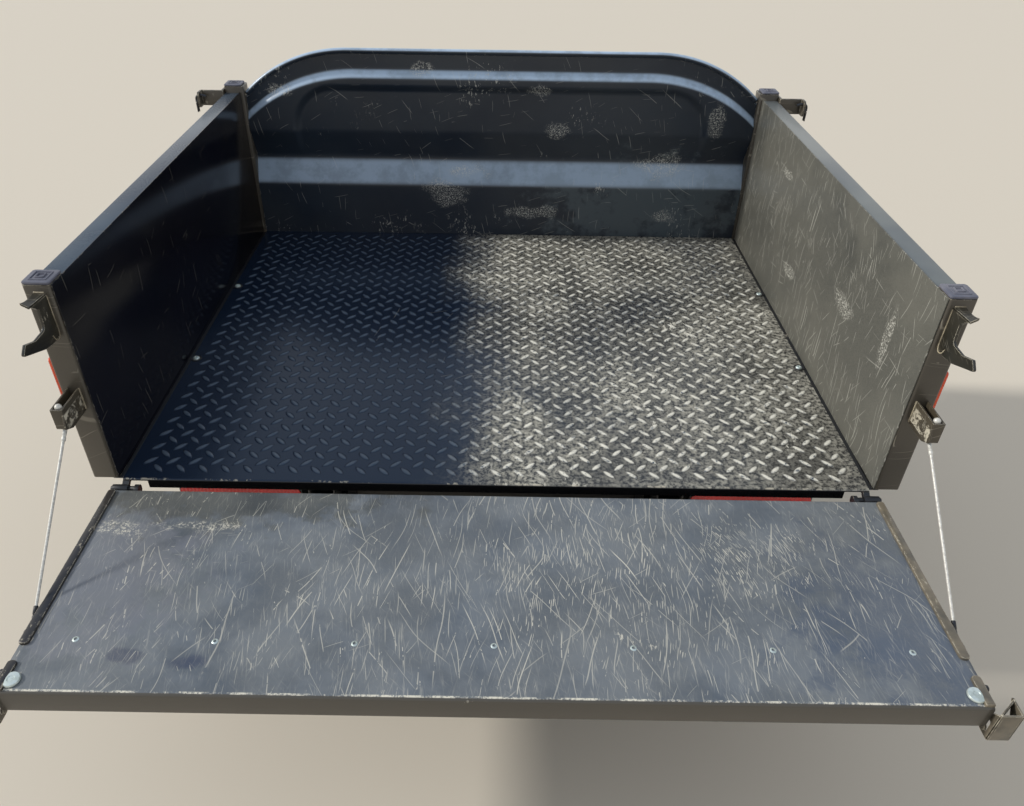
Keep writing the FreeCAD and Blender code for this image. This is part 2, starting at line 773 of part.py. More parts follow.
def gate_side_channel():
    """Right closed channel, bored for the latch bolt."""
    x0 = gate_half_width - gate_side_width
    x1 = gate_half_width
    channel = tube_y(x0, x1, gate_end_y + gate_rail_depth, gate_edge_y - 2,
                     frame_low_z, frame_high_z, sheet)
    bore = rod_x(x0 - 1, x1 + 1, latch_bolt_y, latch_bolt_z, latch_bolt_r + 0.1)
    return let_down(channel.cut(bore))


def gate_stud():
    """Right stud outside the side channel, with the head that keeps the stay's eye on."""
    root = gate_half_width
    eye_end = stay_eye_x + stay_eye_width / 2
    plate = rod_x(root, root + 2, stud_y, stud_z, stud_r + 8)
    stud = rod_x(root, eye_end + 2, stud_y, stud_z, stud_r)
    head = rod_x(eye_end + 1, eye_end + 5, stud_y, stud_z, stud_r + 4)
    return let_down(fuse(plate, stud, head))


def gate_latch():
    """Right latch: bolt that the hook holds, and the folded lever at the corner."""
    bolt = rod_x(gate_half_width - gate_side_width + 3, latch_bolt_end,
                 latch_bolt_y, latch_bolt_z, latch_bolt_r)
    x0 = gate_half_width + catch_clearance
    x1 = x0 + lever_width
    back = gate_end_y - lever_past_gate
    ahead = gate_end_y + lever_reach
    low = gate_top_z - lever_height
    brace_low = gate_top_z - lever_height / 2
    inner = plate_yz([(back, low, 0), (back, gate_top_z, 3), (ahead - 8, gate_top_z - 24, 4),
                      (ahead - 8, low, 6)], x0, x0 + lever_thick)
    web = box(x0, x1, back, back + lever_thick, low, gate_top_z)
    flange = plate_yz([(back, low, 0), (back, gate_top_z, 0), (ahead, gate_top_z, 2)],
                      x1 - lever_thick, x1)
    brace = [(x0 + 1, back + 4, 0), (x1 - 1, ahead - 4, 0), (x1 - 1, ahead - 8, 0), (x0 + 1, back, 0)]
    face = Part.Face(rounded_wire(brace, in_xy(brace_low)))
    wall = face.extrude(Vector(0, 0, gate_top_z - brace_low))
    seat = rod_x(gate_half_width, x0 + 1, gate_end_y + 4, low + 12, 6)
    return let_down(bolt), let_down(fuse(inner, web, flange, wall, seat))


def stay():
    """Right stay: ball and shank in the pocket, then a taut cable to the stud's eye."""
    shank_r = stay_r + 1
    ball_y = tail_y - pocket_depth + pocket_wall + stay_ball_r + 1
    ball = Vector(stay_x, ball_y, floor_z + pocket_top - 1)
    bend = Vector(stay_x, ball_y - 2, floor_z + pocket_low - 3)
    stud = let_down(Part.Vertex(Vector(stay_eye_x, stud_y, stud_z))).Point
    down = stud - bend
    run = down.Length
    down.normalize()
    pieces = [Part.makeSphere(stay_ball_r, ball)]
    drop = bend - ball
    pieces.append(Part.makeCylinder(shank_r, drop.Length, ball, drop))
    pieces.append(Part.makeSphere(shank_r, bend))
    pieces.append(Part.makeCylinder(stay_r, run - 8, bend, down))
    pieces.append(Part.makeCylinder(shank_r, 34, stud - down * 42, down))
    half = stay_eye_width / 2
    pieces.append(rod_x(stay_eye_x - half, stay_eye_x + half, stud.y, stud.z, stay_eye_r))
    hole = rod_x(stay_eye_x - half - 1, stay_eye_x + half + 1, stud.y, stud.z, stud_r + running_gap)
    return fuse(*pieces).cut(hole)


# Lift cylinder.
lift_line = lift_eye - lift_base
lift_length = lift_line.Length
lift_dir = Vector(lift_line).normalize()
lift_body_start = lift_eye_r + 4
lift_body_end = lift_length - lift_eye_r * 3.1
lift_bore_start = lift_eye_r + 22
lift_rod_start = lift_bore_start + 5


def lift_barrel():
    start = lift_base + lift_dir * lift_body_start
    body = Part.makeCylinder(lift_barrel_r, lift_body_end - lift_body_start, start, lift_dir)
    half_eye = lift_eye_r / 2
    neck_start = lift_base + lift_dir * half_eye
    neck = Part.makeCylinder(lift_rod_r, lift_body_start - half_eye, neck_start, lift_dir)
    half = lift_eye_width / 2
    eye = rod_x(-half, half, lift_base.y, lift_base.z, lift_eye_r)
    hole = rod_x(-half - 1, half + 1, lift_base.y, lift_base.z, lift_pin_r + running_gap)
    bore_start = lift_base + lift_dir * lift_bore_start
    inside = Part.makeCylinder(lift_rod_r + running_gap, lift_length, bore_start, lift_dir)
    return fuse(body, neck, eye).cut(hole).cut(inside)


def lift_rod():
    start = lift_base + lift_dir * lift_rod_start
    rod = Part.makeCylinder(lift_rod_r, lift_length - lift_rod_start, start, lift_dir)
    half = lift_eye_width / 2
    eye = rod_x(-half, half, lift_eye.y, lift_eye.z, lift_eye_r)
    reach = half + lift_ear_gap - 0.3
    pin = rod_x(-reach, reach, lift_eye.y, lift_eye.z, lift_pin_r)
    return fuse(rod, eye, pin)


def both_sides(shape):
    return Part.makeCompound([shape, mirrored(shape)])


nodes = {}


def add_pair(name, shape):
    nodes[name + "_right"] = shape
    nodes[name + "_left"] = mirrored(shape)


add_pair("frame_rail", frame_rail())
add_pair("pivot_bracket", pivot_bracket())
nodes["rear_crossmember"] = rear_crossmember()
nodes["middle_crossmember"] = middle_crossmember()
nodes["front_crossmember"] = front_crossmember()
nodes["rest_pads"] = rest_pads()
nodes["tail_lamps"] = both_sides(tail_lamp())
nodes["tail_lenses"] = both_sides(tail_lens())
nodes["floor_plate"] = floor_plate()
nodes["cross_ribs"] = cross_ribs()
nodes["headboard"] = headboard()
nodes["lift_bracket"] = lift_bracket()
nodes["gate_hinges"] = both_sides(gate_hinge())
nodes["side_reflectors"] = both_sides(side_reflector())
nodes["side_latches"] = both_sides(side_latch())
caps = [post_cap(post_x, post_rear_y, side_top_z + post_over_side),
        post_cap(post_x - 4, head_face, floor_z + corner_post_top)]
nodes["post_caps"] = Part.makeCompound([both_sides(cap) for cap in caps])
add_pair("under_rail", under_rail())
add_pair("side_sill", side_sill())
add_pair("side_wall", side_wall())
add_pair("side_top_rail", side_top_rail())
add_pair("rear_post", rear_post())
add_pair("corner_post", corner_post())
add_pair("gate_catch", gate_catch())
add_pair("stay_bracket", stay_bracket())
nodes["gate_inner_skin"] = gate_inner_skin()
nodes["gate_outer_skin"] = gate_outer_skin()
nodes["gate_top_rail"] = gate_top_rail()
nodes["gate_bottom_rail"] = gate_bottom_rail()
add_pair("gate_side_channel", gate_side_channel())
add_pair("gate_stud", gate_stud())
latch_bolt, latch_lever = gate_latch()
add_pair("latch_bolt", latch_bolt)
add_pair("latch_lever", latch_lever)
add_pair("stay", stay())
nodes["lift_barrel"] = lift_barrel()
nodes["lift_rod"] = lift_rod()

os.makedirs("parts", exist_ok=True)
for name, shape in nodes.items():
    shape.exportStep("parts/" + name + ".step")
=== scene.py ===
import math

import bmesh
import bpy
import numpy as np
from mathutils import Matrix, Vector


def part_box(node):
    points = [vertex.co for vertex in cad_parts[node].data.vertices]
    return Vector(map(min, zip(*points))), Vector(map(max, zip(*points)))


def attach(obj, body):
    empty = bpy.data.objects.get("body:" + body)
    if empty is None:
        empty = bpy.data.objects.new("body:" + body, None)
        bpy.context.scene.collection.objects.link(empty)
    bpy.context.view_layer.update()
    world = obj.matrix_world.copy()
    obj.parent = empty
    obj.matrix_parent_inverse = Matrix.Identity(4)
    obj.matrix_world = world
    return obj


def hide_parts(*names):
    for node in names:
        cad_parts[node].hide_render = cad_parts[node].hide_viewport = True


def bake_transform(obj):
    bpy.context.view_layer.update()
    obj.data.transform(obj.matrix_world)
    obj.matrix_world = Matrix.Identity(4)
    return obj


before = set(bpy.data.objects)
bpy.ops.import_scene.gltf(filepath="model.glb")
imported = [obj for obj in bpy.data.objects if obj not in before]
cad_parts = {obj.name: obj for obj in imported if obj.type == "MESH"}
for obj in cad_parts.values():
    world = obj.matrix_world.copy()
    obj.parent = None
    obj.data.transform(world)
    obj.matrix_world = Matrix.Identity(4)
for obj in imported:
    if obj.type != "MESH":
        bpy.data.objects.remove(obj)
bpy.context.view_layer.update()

mm = 0.001
scene = bpy.context.scene


def nodeBox(name):
    # lowest and highest corner of a CAD node in millimetres
    low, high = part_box(name)
    return np.array(low) / mm, np.array(high) / mm


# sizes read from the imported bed
floorLow, floorHigh = nodeBox("floor_plate")
wallLow, wallHigh = nodeBox("side_wall_right")
railLow, railHigh = nodeBox("side_top_rail_right")
postLow, postHigh = nodeBox("rear_post_right")
cornerLow, cornerHigh = nodeBox("corner_post_right")
tailY, frontY, floorZ = floorLow[1], floorHigh[1], floorHigh[2]

# the tailgate as if level: edgeY is its edge at the hinge, endY its free end, topZ its inner face
gate = {"hingeY": tailY - 11, "hingeZ": floorZ - 14, "droop": 0.3, "halfWidth": 689.0,
        "edgeY": tailY - 21, "depth": 406.0, "topZ": floorZ - 10, "thick": 40.0}
gate["endY"] = gate["edgeY"] - gate["depth"]
# where each stay meets its stud
gate["studY"], gate["studZ"] = gate["endY"] + 113, gate["topZ"] - 22


def letDown(points):
    # turns points of the level tailgate about its hinge by its droop
    a = math.radians(gate["droop"])
    y = points[..., 1] - gate["hingeY"]
    z = points[..., 2] - gate["hingeZ"]
    turned = points.copy()
    turned[..., 1] = gate["hingeY"] + y * math.cos(a) - z * math.sin(a)
    turned[..., 2] = gate["hingeZ"] + y * math.sin(a) + z * math.cos(a)
    return turned


def onGate(shell):
    # a shell drawn on the level tailgate, brought to its place
    return letDown(shell[0]), shell[1]


# a shell is an array of points in millimetres and a list of faces
def gridShell(points, wrapU=False, wrapV=False):
    # quads between the rows (u) and columns (v) of an array of points
    nu, nv = points.shape[:2]
    index = np.arange(nu * nv).reshape(nu, nv)
    if wrapU:
        index = np.vstack([index, index[:1]])
    if wrapV:
        index = np.hstack([index, index[:, :1]])
    quads = np.stack([index[:-1, :-1], index[1:, :-1], index[1:, 1:], index[:-1, 1:]], -1)
    return points.reshape(-1, 3), quads.reshape(-1, 4).tolist()


def tubeShell(rings):
    # closed body: rings of points joined in rows, with a face on the first and on the last
    points, faces = gridShell(rings, wrapV=True)
    count = rings.shape[1]
    return points, faces + [list(range(count))[::-1], list(range(len(points) - count, len(points)))]


def joinShells(shells):
    # several shells as one; each one's faces are counted on from the points before it
    points, faces, start = [], [], 0
    for shellPoints, shellFaces in shells:
        points.append(shellPoints)
        faces += [[i + start for i in face] for face in shellFaces]
        start += len(shellPoints)
    return np.vstack(points), faces


def mirrorX(shell):
    # the shell in a mirror at x = 0, its faces turned over so that they still point outwards
    return shell[0] * (-1, 1, 1), [face[::-1] for face in shell[1]]


def bothSides(*shells):
    # the shells and their mirror images as one shell
    return joinShells([*shells, *(mirrorX(shell) for shell in shells)])


def roundOutline(corners, steps=5):
    # closed outline through (u, v, radius) corners, each turned into an arc of that radius
    flat = np.array([c[:2] for c in corners], float)
    radius = np.maximum([c[2] for c in corners], 0.15)[:, None]
    toLast = np.roll(flat, 1, 0) - flat
    toNext = np.roll(flat, -1, 0) - flat
    toLast /= np.linalg.norm(toLast, axis=1, keepdims=True)
    toNext /= np.linalg.norm(toNext, axis=1, keepdims=True)
    half = np.arccos(np.clip((toLast * toNext).sum(1, keepdims=True), -1, 1)) / 2
    middle = toLast + toNext
    middle /= np.linalg.norm(middle, axis=1, keepdims=True)
    centre = flat + middle * radius / np.sin(half)
    first = flat + toLast * radius / np.tan(half) - centre
    last = flat + toNext * radius / np.tan(half) - centre
    sweep = (math.pi - 2 * half)[:, None]
    t = np.linspace(0, 1, steps)[None, :, None]
    arcs = (np.sin((1 - t) * sweep) * first[:, None] + np.sin(t * sweep) * last[:, None]) / np.sin(sweep)
    return (arcs + centre[:, None]).reshape(-1, 2)


def rectangle(u0, u1, v0, v1, radius, steps=5):
    # a rectangle with round corners, as a closed outline
    return roundOutline([(u0, v0, radius), (u1, v0, radius), (u1, v1, radius), (u0, v1, radius)], steps)


def insetRing(ring, depth):
    # the outline moved inwards by depth along the mean of its two edge normals
    edge = np.roll(ring, -1, 0) - ring
    edge /= np.maximum(np.linalg.norm(edge, axis=1, keepdims=True), 1e-9)
    normal = np.stack([edge[:, 1], -edge[:, 0]], -1)
    mean = normal + np.roll(normal, 1, 0)
    mean /= np.maximum((mean ** 2).sum(1, keepdims=True), 0.5) / 2
    area = (ring[:, 0] * np.roll(ring[:, 1], -1) - ring[:, 1] * np.roll(ring[:, 0], -1)).sum()
    return ring - mean * depth * np.sign(area)


planes = {"xy": np.eye(3), "xz": np.array([[1, 0, 0], [0, 0, 1], [0, 1, 0]]),
          "yz": np.array([[0, 1, 0], [0, 0, 1], [1, 0, 0]])}


def stackRings(rows, plane):
    # (outline, level) rows as points in space, the level measured across the plane
    return np.array([np.column_stack([ring, np.full(len(ring), level)]) @ planes[plane]
                     for ring, level in rows])


def plateShell(outline, low, high, plane, edge=0.6):
    # flat outline in a plane, from low to high across it, with rounded edges
    rows = [(edge, low), (edge * 0.3, low + edge * 0.3), (0, low + edge),
            (0, high - edge), (edge * 0.3, high - edge * 0.3), (edge, high)]
    return tubeShell(stackRings([(insetRing(outline, inset), level) for inset, level in rows], plane))


def frameShell(outline, rows, plane):
    # raised closed frame on an outline: rows of (inset, level) carried once round it
    rings = stackRings([(insetRing(outline, inset), level) for inset, level in rows], plane)
    return gridShell(rings, wrapU=True, wrapV=True)


def holedPlateShell(outline, hole, low, high, plane, count=72):
    # plate with one hole: both outlines are resampled by angle about the hole's centre
    centre = hole.mean(0)
    angles = np.linspace(-math.pi, math.pi, count, endpoint=False)

    def resample(ring):
        # the ring's points read off at the even angles
        turn = np.arctan2(ring[:, 1] - centre[1], ring[:, 0] - centre[0])
        order = np.argsort(turn)
        turn, ring = turn[order], ring[order]
        turn = np.concatenate([turn - 2 * math.pi, turn, turn + 2 * math.pi])
        ring = np.vstack([ring, ring, ring])
        return np.column_stack([np.interp(angles, turn, ring[:, k]) for k in (0, 1)])

    outer, inner = resample(outline), resample(hole)
    rings = stackRings([(outer, low), (outer, high), (inner, high), (inner, low)], plane)
    return gridShell(rings, wrapU=True, wrapV=True)


def basisOf(axis):
    # the axis as a unit vector, and two more square to it
    axis = np.asarray(axis, float)
    axis = axis / np.linalg.norm(axis)
    helper = np.array([0, 0, 1.0]) if abs(axis[2]) < 0.9 else np.array([0, 1.0, 0])
    side = np.cross(helper, axis)
    side /= np.linalg.norm(side)
    return axis, side, np.cross(axis, side)


def latheShell(profile, origin, axis, segments=28):
    # (radius, height) profile turned about an axis
    axis, side, third = basisOf(axis)
    profile = np.array(profile, float)
    turn = np.linspace(0, 2 * math.pi, segments, endpoint=False)
    spoke = np.cos(turn)[:, None] * side + np.sin(turn)[:, None] * third
    points = np.asarray(origin) + profile[:, 1, None, None] * axis + profile[:, 0, None, None] * spoke
    return gridShell(points, wrapV=True)


def rodShell(start, end, radius, segments=20, edge=0.5):
    # a straight round rod with its two rims bevelled
    start, end = np.asarray(start, float), np.asarray(end, float)
    length = np.linalg.norm(end - start)
    profile = [(0, 0), (radius - edge, 0), (radius, edge), (radius, length - edge),
               (radius - edge, length), (0, length)]
    return latheShell(profile, start, end - start, segments)


def smoothPath(knots, count):
    # evenly numbered points on a curve through the knots (each span a cubic)
    knots = np.array(knots, float)
    ends = np.vstack([2 * knots[0] - knots[1], knots, 2 * knots[-1] - knots[-2]])
    t = np.linspace(0, len(knots) - 1, count)
    span = np.minimum(t.astype(int), len(knots) - 2)
    f = (t - span)[:, None]
    a, b, c, d = (ends[span + k] for k in range(4))
    return 0.5 * (2 * b + (c - a) * f + (2 * a - 5 * b + 4 * c - d) * f ** 2
                  + (3 * b - a - 3 * c + d) * f ** 3)


def pathShell(path, radius, segments, ripple):
    # round section carried along a path; ripple(turn, way) scales its radius
    along = np.gradient(path, axis=0)
    along /= np.linalg.norm(along, axis=1, keepdims=True)
    helper = np.array([1.0, 0, 0]) if abs(along[0][0]) < 0.8 else np.array([0, 0, 1.0])
    side = np.cross(helper, along)
    side /= np.linalg.norm(side, axis=1, keepdims=True)
    third = np.cross(along, side)
    turn = np.linspace(0, 2 * math.pi, segments, endpoint=False)[None, :]
    way = np.concatenate([[0], np.cumsum(np.linalg.norm(np.diff(path, axis=0), axis=1))])[:, None]
    size = (radius * ripple(turn, way) * np.ones((len(path), segments)))[..., None]
    spoke = np.cos(turn)[..., None] * side[:, None] + np.sin(turn)[..., None] * third[:, None]
    return tubeShell(path[:, None] + size * spoke)


def addMesh(name, shell, material):
    # an object at the origin that holds the shell in metres
    mesh = bpy.data.meshes.new(name)
    mesh.from_pydata((shell[0] * mm).tolist(), [], shell[1])
    mesh.materials.append(material)
    made = bpy.data.objects.new(name, mesh)
    scene.collection.objects.link(made)
    return made


def makePiece(name, shell, material, standsFor=(), body="bed", sharp=40, thick=None):
    # turns a shell into a finished piece: merged, outward, smooth up to the sharp angle;
    # an open sheet isn't turned outward but gets its thickness
    piece = addMesh(name, shell, material)
    mesh = piece.data
    work = bmesh.new()
    work.from_mesh(mesh)
    bmesh.ops.remove_doubles(work, verts=work.verts, dist=0.01 * mm)
    bmesh.ops.dissolve_degenerate(work, edges=work.edges, dist=0.005 * mm)
    if not thick:
        bmesh.ops.recalc_face_normals(work, faces=work.faces)
    work.to_mesh(mesh)
    work.free()
    mesh.polygons.foreach_set("use_smooth", [True] * len(mesh.polygons))
    mesh.set_sharp_from_angle(angle=math.radians(sharp))
    if body:
        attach(piece, body)
    if standsFor:
        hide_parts(*standsFor)
    if thick:
        sheet = piece.modifiers.new("thickness", "SOLIDIFY")
        sheet.thickness = thick * mm
        sheet.offset = -1
    return piece


def makePair(name, shell, material, standsFor="", body="bed", leftMaterial=None):
    # a piece on the right and its mirror image on the left; a CAD name that ends in _ takes the side
    pieces = []
    for side, own, finish in (("right", shell, material), ("left", mirrorX(shell), leftMaterial or material)):
        node = standsFor + side if standsFor.endswith("_") else standsFor
        pieces.append(makePiece(name + "." + side, own, finish, [node] if node else (), body))
    return pieces


# shader nodes
def pigment(levels):
    # a paint colour given as it looks on a screen, 0 to 255, as linear light
    levels = np.array(levels) / 255
    linear = np.where(levels <= 0.04045, levels / 12.92, ((levels + 0.055) / 1.055) ** 2.4)
    return (*linear.tolist(), 1.0)


def feed(socket, value):
    # a socket takes a link, a paint colour of three levels, or a plain value
    if isinstance(value, bpy.types.NodeSocket):
        socket.id_data.links.new(value, socket)
    elif socket.type == "RGBA" and len(value) == 3:
        socket.default_value = pigment(value)
    else:
        socket.default_value = value


def addNode(kind, inputs=None, tree=None, **settings):
    # a node that takes a link goes in the tree that the link comes from
    inputs = inputs or {}
    links = [value for value in inputs.values() if isinstance(value, bpy.types.NodeSocket)]
    made = (tree or links[0].id_data).nodes.new("ShaderNode" + kind)
    for key, value in settings.items():
        setattr(made, key, value)
    for socket, value in inputs.items():
        feed(made.inputs[socket], value)
    return made


def calc(operation, *values):
    # one step of arithmetic on numbers
    return addNode("Math", dict(enumerate(values)), operation=operation).outputs[0]


def times(product, *factors):
    # all of them multiplied
    for factor in factors:
        product = calc("MULTIPLY", product, factor)
    return product


def timesPlus(a, b, c):
    # a times b, plus c
    return calc("MULTIPLY_ADD", a, b, c)


def vectorCalc(operation, *values):
    # one step on vectors; a length or a dot product comes out as a number
    made = addNode("VectorMath", dict(enumerate(values)), operation=operation)
    return made.outputs["Value" if operation in ("LENGTH", "DOT_PRODUCT") else "Vector"]


def splitVector(vector):
    # the sockets of x, y and z
    return addNode("SeparateXYZ", {0: vector}).outputs


def joinVector(*values):
    # a vector of up to three numbers
    return addNode("CombineXYZ", dict(enumerate(values))).outputs[0]


def turnVector(vector, angle):
    # the vector turned about z
    return addNode("VectorRotate", {"Vector": vector, "Angle": angle}, rotation_type="Z_AXIS").outputs[0]


def ramp(value, low, high, start=0.0, end=1.0):
    # start where the value is low, end where it is high, eased between them
    made = addNode("MapRange", {0: value, 1: low, 2: high, 3: start, 4: end},
                   interpolation_type="SMOOTHSTEP")
    return made.outputs[0]


def noise(vector, scale, detail=2.0, roughness=0.5, distortion=0.0, output=0):
    # soft noise around a half; the scale is in features to the metre
    return addNode("TexNoise", {"Vector": vector, "Scale": scale, "Detail": detail,
                                "Roughness": roughness, "Distortion": distortion}).outputs[output]


def blendColor(share, a, b):
    # a where the share is 0, b where it is 1
    return addNode("Mix", {0: share, 6: a, 7: b}, data_type="RGBA").outputs[2]


def startGroup(name, vectors, numbers, outputs="Mask"):
    # a group with the named inputs and number outputs; also returns the sockets to take from and give to
    group = bpy.data.node_groups.new(name, "ShaderNodeTree")
    for kind, labels in (("Vector", vectors), ("Float", numbers)):
        for label in labels.split():
            group.interface.new_socket(name=label, in_out="INPUT", socket_type="NodeSocket" + kind)
    for label in outputs.split():
        group.interface.new_socket(name=label, in_out="OUTPUT", socket_type="NodeSocketFloat")
    return group, group.nodes.new("NodeGroupInput").outputs, group.nodes.new("NodeGroupOutput").inputs


def makeScratchGroup():
    # separate strokes: the surface, gently bent, is cut into long thin cells; white noise gives
    # a cell its stroke or none, with its own place, slant, length and strength
    group, take, give = startGroup("scratchStrokes", "Vector", "Angle Long Wide Line Share Seed")
    seed, wide = take["Seed"], take["Wide"]
    place = vectorCalc("ADD", take["Vector"], joinVector(seed, seed))
    bend = noise(place, 3.5, 1.5, output="Color")
    bent = vectorCalc("MULTIPLY_ADD", bend, (0.12, 0.12, 0.0), place)
    split = splitVector(turnVector(bent, times(take["Angle"], -1.0)))
    across = calc("DIVIDE", split[1], wide)
    row = calc("FLOOR", across)
    stagger = addNode("TexWhiteNoise", {"Vector": joinVector(row, seed)}, noise_dimensions="2D")
    along = calc("ADD", calc("DIVIDE", split[0], take["Long"]), times(stagger.outputs["Value"], 17.0))
    cell = joinVector(row, calc("FLOOR", along), seed)
    dice = addNode("TexWhiteNoise", {"Vector": cell}, noise_dimensions="3D").outputs
    own = addNode("SeparateColor", {0: dice["Color"]}).outputs
    u = calc("SUBTRACT", calc("FRACT", along), 0.5)
    v = calc("SUBTRACT", calc("FRACT", across), 0.5)
    slant = times(calc("SUBTRACT", own[1], 0.5), u)
    middle = timesPlus(calc("SUBTRACT", own[0], 0.5), 0.4, slant)
    off = times(calc("ABSOLUTE", calc("SUBTRACT", v, middle)), wide)
    line = times(take["Line"], timesPlus(own[2], 1.3, 0.3))
    core = ramp(off, line, times(line, 0.4))
    reach = timesPlus(own[2], 0.34, 0.14)
    taper = ramp(calc("ABSOLUTE", u), reach, times(reach, 0.5))
    on = calc("LESS_THAN", dice["Value"], take["Share"])
    strong = timesPlus(own[0], 0.75, 0.3)
    feed(give["Mask"], times(core, taper, times(on, strong)))
    return group


def makeWearGroup():
    # edges where the surface turns inside a small radius, broken up by noise
    group, take, give = startGroup("edgeWear", "Vector", "Reach Grain Cut")
    bevel = addNode("Bevel", {"Radius": take["Reach"]}, samples=6).outputs[0]
    true = addNode("NewGeometry", tree=group).outputs["Normal"]
    turned = ramp(vectorCalc("DOT_PRODUCT", bevel, true), 0.985, 0.86)
    broken = ramp(noise(take["Vector"], take["Grain"], 4.0, 0.6), take["Cut"], calc("ADD", take["Cut"], 0.12))
    feed(give["Mask"], times(turned, broken))
    return group


def makeDustGroup():
    # soft film in patches, with a finer speckle in it
    group, take, give = startGroup("dustFilm", "Vector", "Patch Cover", "Mask Speckle")
    patch = noise(take["Vector"], take["Patch"], 5.0, 0.62, 0.4)
    low = calc("SUBTRACT", 0.85, take["Cover"])
    film = ramp(patch, calc("SUBTRACT", low, 0.18), calc("ADD", low, 0.22))
    fine = ramp(noise(take["Vector"], 420.0, 3.0, 0.7), 0.3, 0.62, 0.55, 1.0)
    feed(give["Mask"], times(film, fine))
    feed(give["Speckle"], ramp(noise(take["Vector"], 140.0, 4.0, 0.75), 0.66, 0.7))
    return group


def makeChipGroup():
    # knocks through the paint: small ragged dabs, drawn out along y, gathered in a few places
    group, take, give = startGroup("paintChips", "Vector", "Places Cut Size")
    where = ramp(noise(take["Vector"], take["Places"]), take["Cut"], calc("ADD", take["Cut"], 0.08))
    drawn = vectorCalc("MULTIPLY", take["Vector"], (1.0, 0.4, 1.0))
    ragged = ramp(noise(drawn, take["Size"], 5.0, 0.7), 0.585, 0.62)
    feed(give["Mask"], times(where, ragged))
    return group


def makeSpotGroup():
    # share of a spot: an ellipse about a place, its rim broken up by the noise handed in
    group, take, give = startGroup("spotShare", "Vector Place Reach", "Noise")
    way = vectorCalc("SUBTRACT", take["Vector"], take["Place"])
    far = vectorCalc("LENGTH", vectorCalc("MULTIPLY", way, take["Reach"]))
    wide = timesPlus(take["Noise"], 3.0, calc("SUBTRACT", far, 1.5))
    feed(give["Mask"], ramp(wide, 1.15, 0.5))
    return group


scratchGroup = makeScratchGroup()
wearGroup = makeWearGroup()
dustGroup = makeDustGroup()
chipGroup = makeChipGroup()
spotGroup = makeSpotGroup()


def useGroup(group, vector, **inputs):
    # a shared effect with values of its own
    return addNode("Group", {"Vector": vector, **inputs}, node_tree=group).outputs


def startMaterial(name, color, plane="xy"):
    # the vector is object coordinates, turned so that the first two lie in the surface
    material = bpy.data.materials.new(name)
    material.use_nodes = True
    material.diffuse_color = pigment(color)
    vector = addNode("TexCoord", tree=material.node_tree).outputs["Object"]
    if plane != "xy":
        split = splitVector(vector)
        vector = joinVector(*(split[axis] for axis in {"xz": (0, 2, 1), "yz": (1, 2, 0)}[plane]))
    return material, material.node_tree.nodes["Principled BSDF"], vector


def finishShader(shader, color, roughness, height):
    # the height in metres becomes a bump of the surface
    bump = addNode("Bump", {"Height": height, "Strength": 1.0, "Distance": 1.0}).outputs[0]
    for name, value in (("Base Color", color), ("Roughness", roughness), ("Normal", bump)):
        feed(shader.inputs[name], value)


def hairShare(vector, angle, low, high):
    # fine parallel rubbing: noise drawn out along the angle, kept where it is high
    drawn = vectorCalc("MULTIPLY", turnVector(vector, -angle), (0.06, 1.0, 1.0))
    return ramp(noise(drawn, 420.0, 2.0, 0.6), low, high)


def spotShare(vector, spot, look, rough):
    # spot is (u, v from the look's level, reach in u, reach in v) in metres on the surface
    u, v, wide, tall = spot
    return useGroup(spotGroup, vector, Place=(u, look["level"] + v, 0), Reach=(1 / wide, 1 / tall, 0),
                    Noise=rough)["Mask"]


def addStrokes(vector, color, look, rough):
    # layers of strokes: (angle, long, wide, line, share, depth), lengths in millimetres, and perhaps a spot
    marked = 0.0
    for k, (angle, long, wide, line, share, depth, *spot) in enumerate(look["scratches"]):
        gather = ramp(noise(vector, 6.0 + k), 0.36, 0.6, 0.12 * share, share)
        if spot:
            gather = times(gather, spotShare(vector, spot[0], look, rough))
        lines = useGroup(scratchGroup, vector, Angle=angle, Long=long * mm, Wide=wide * mm,
                         Line=line * mm, Share=gather, Seed=1.37 * k + 0.4)["Mask"]
        marked = calc("MAXIMUM", times(lines, depth), marked)
    return blendColor(marked, color, look["bare"]) if look["scratches"] else color


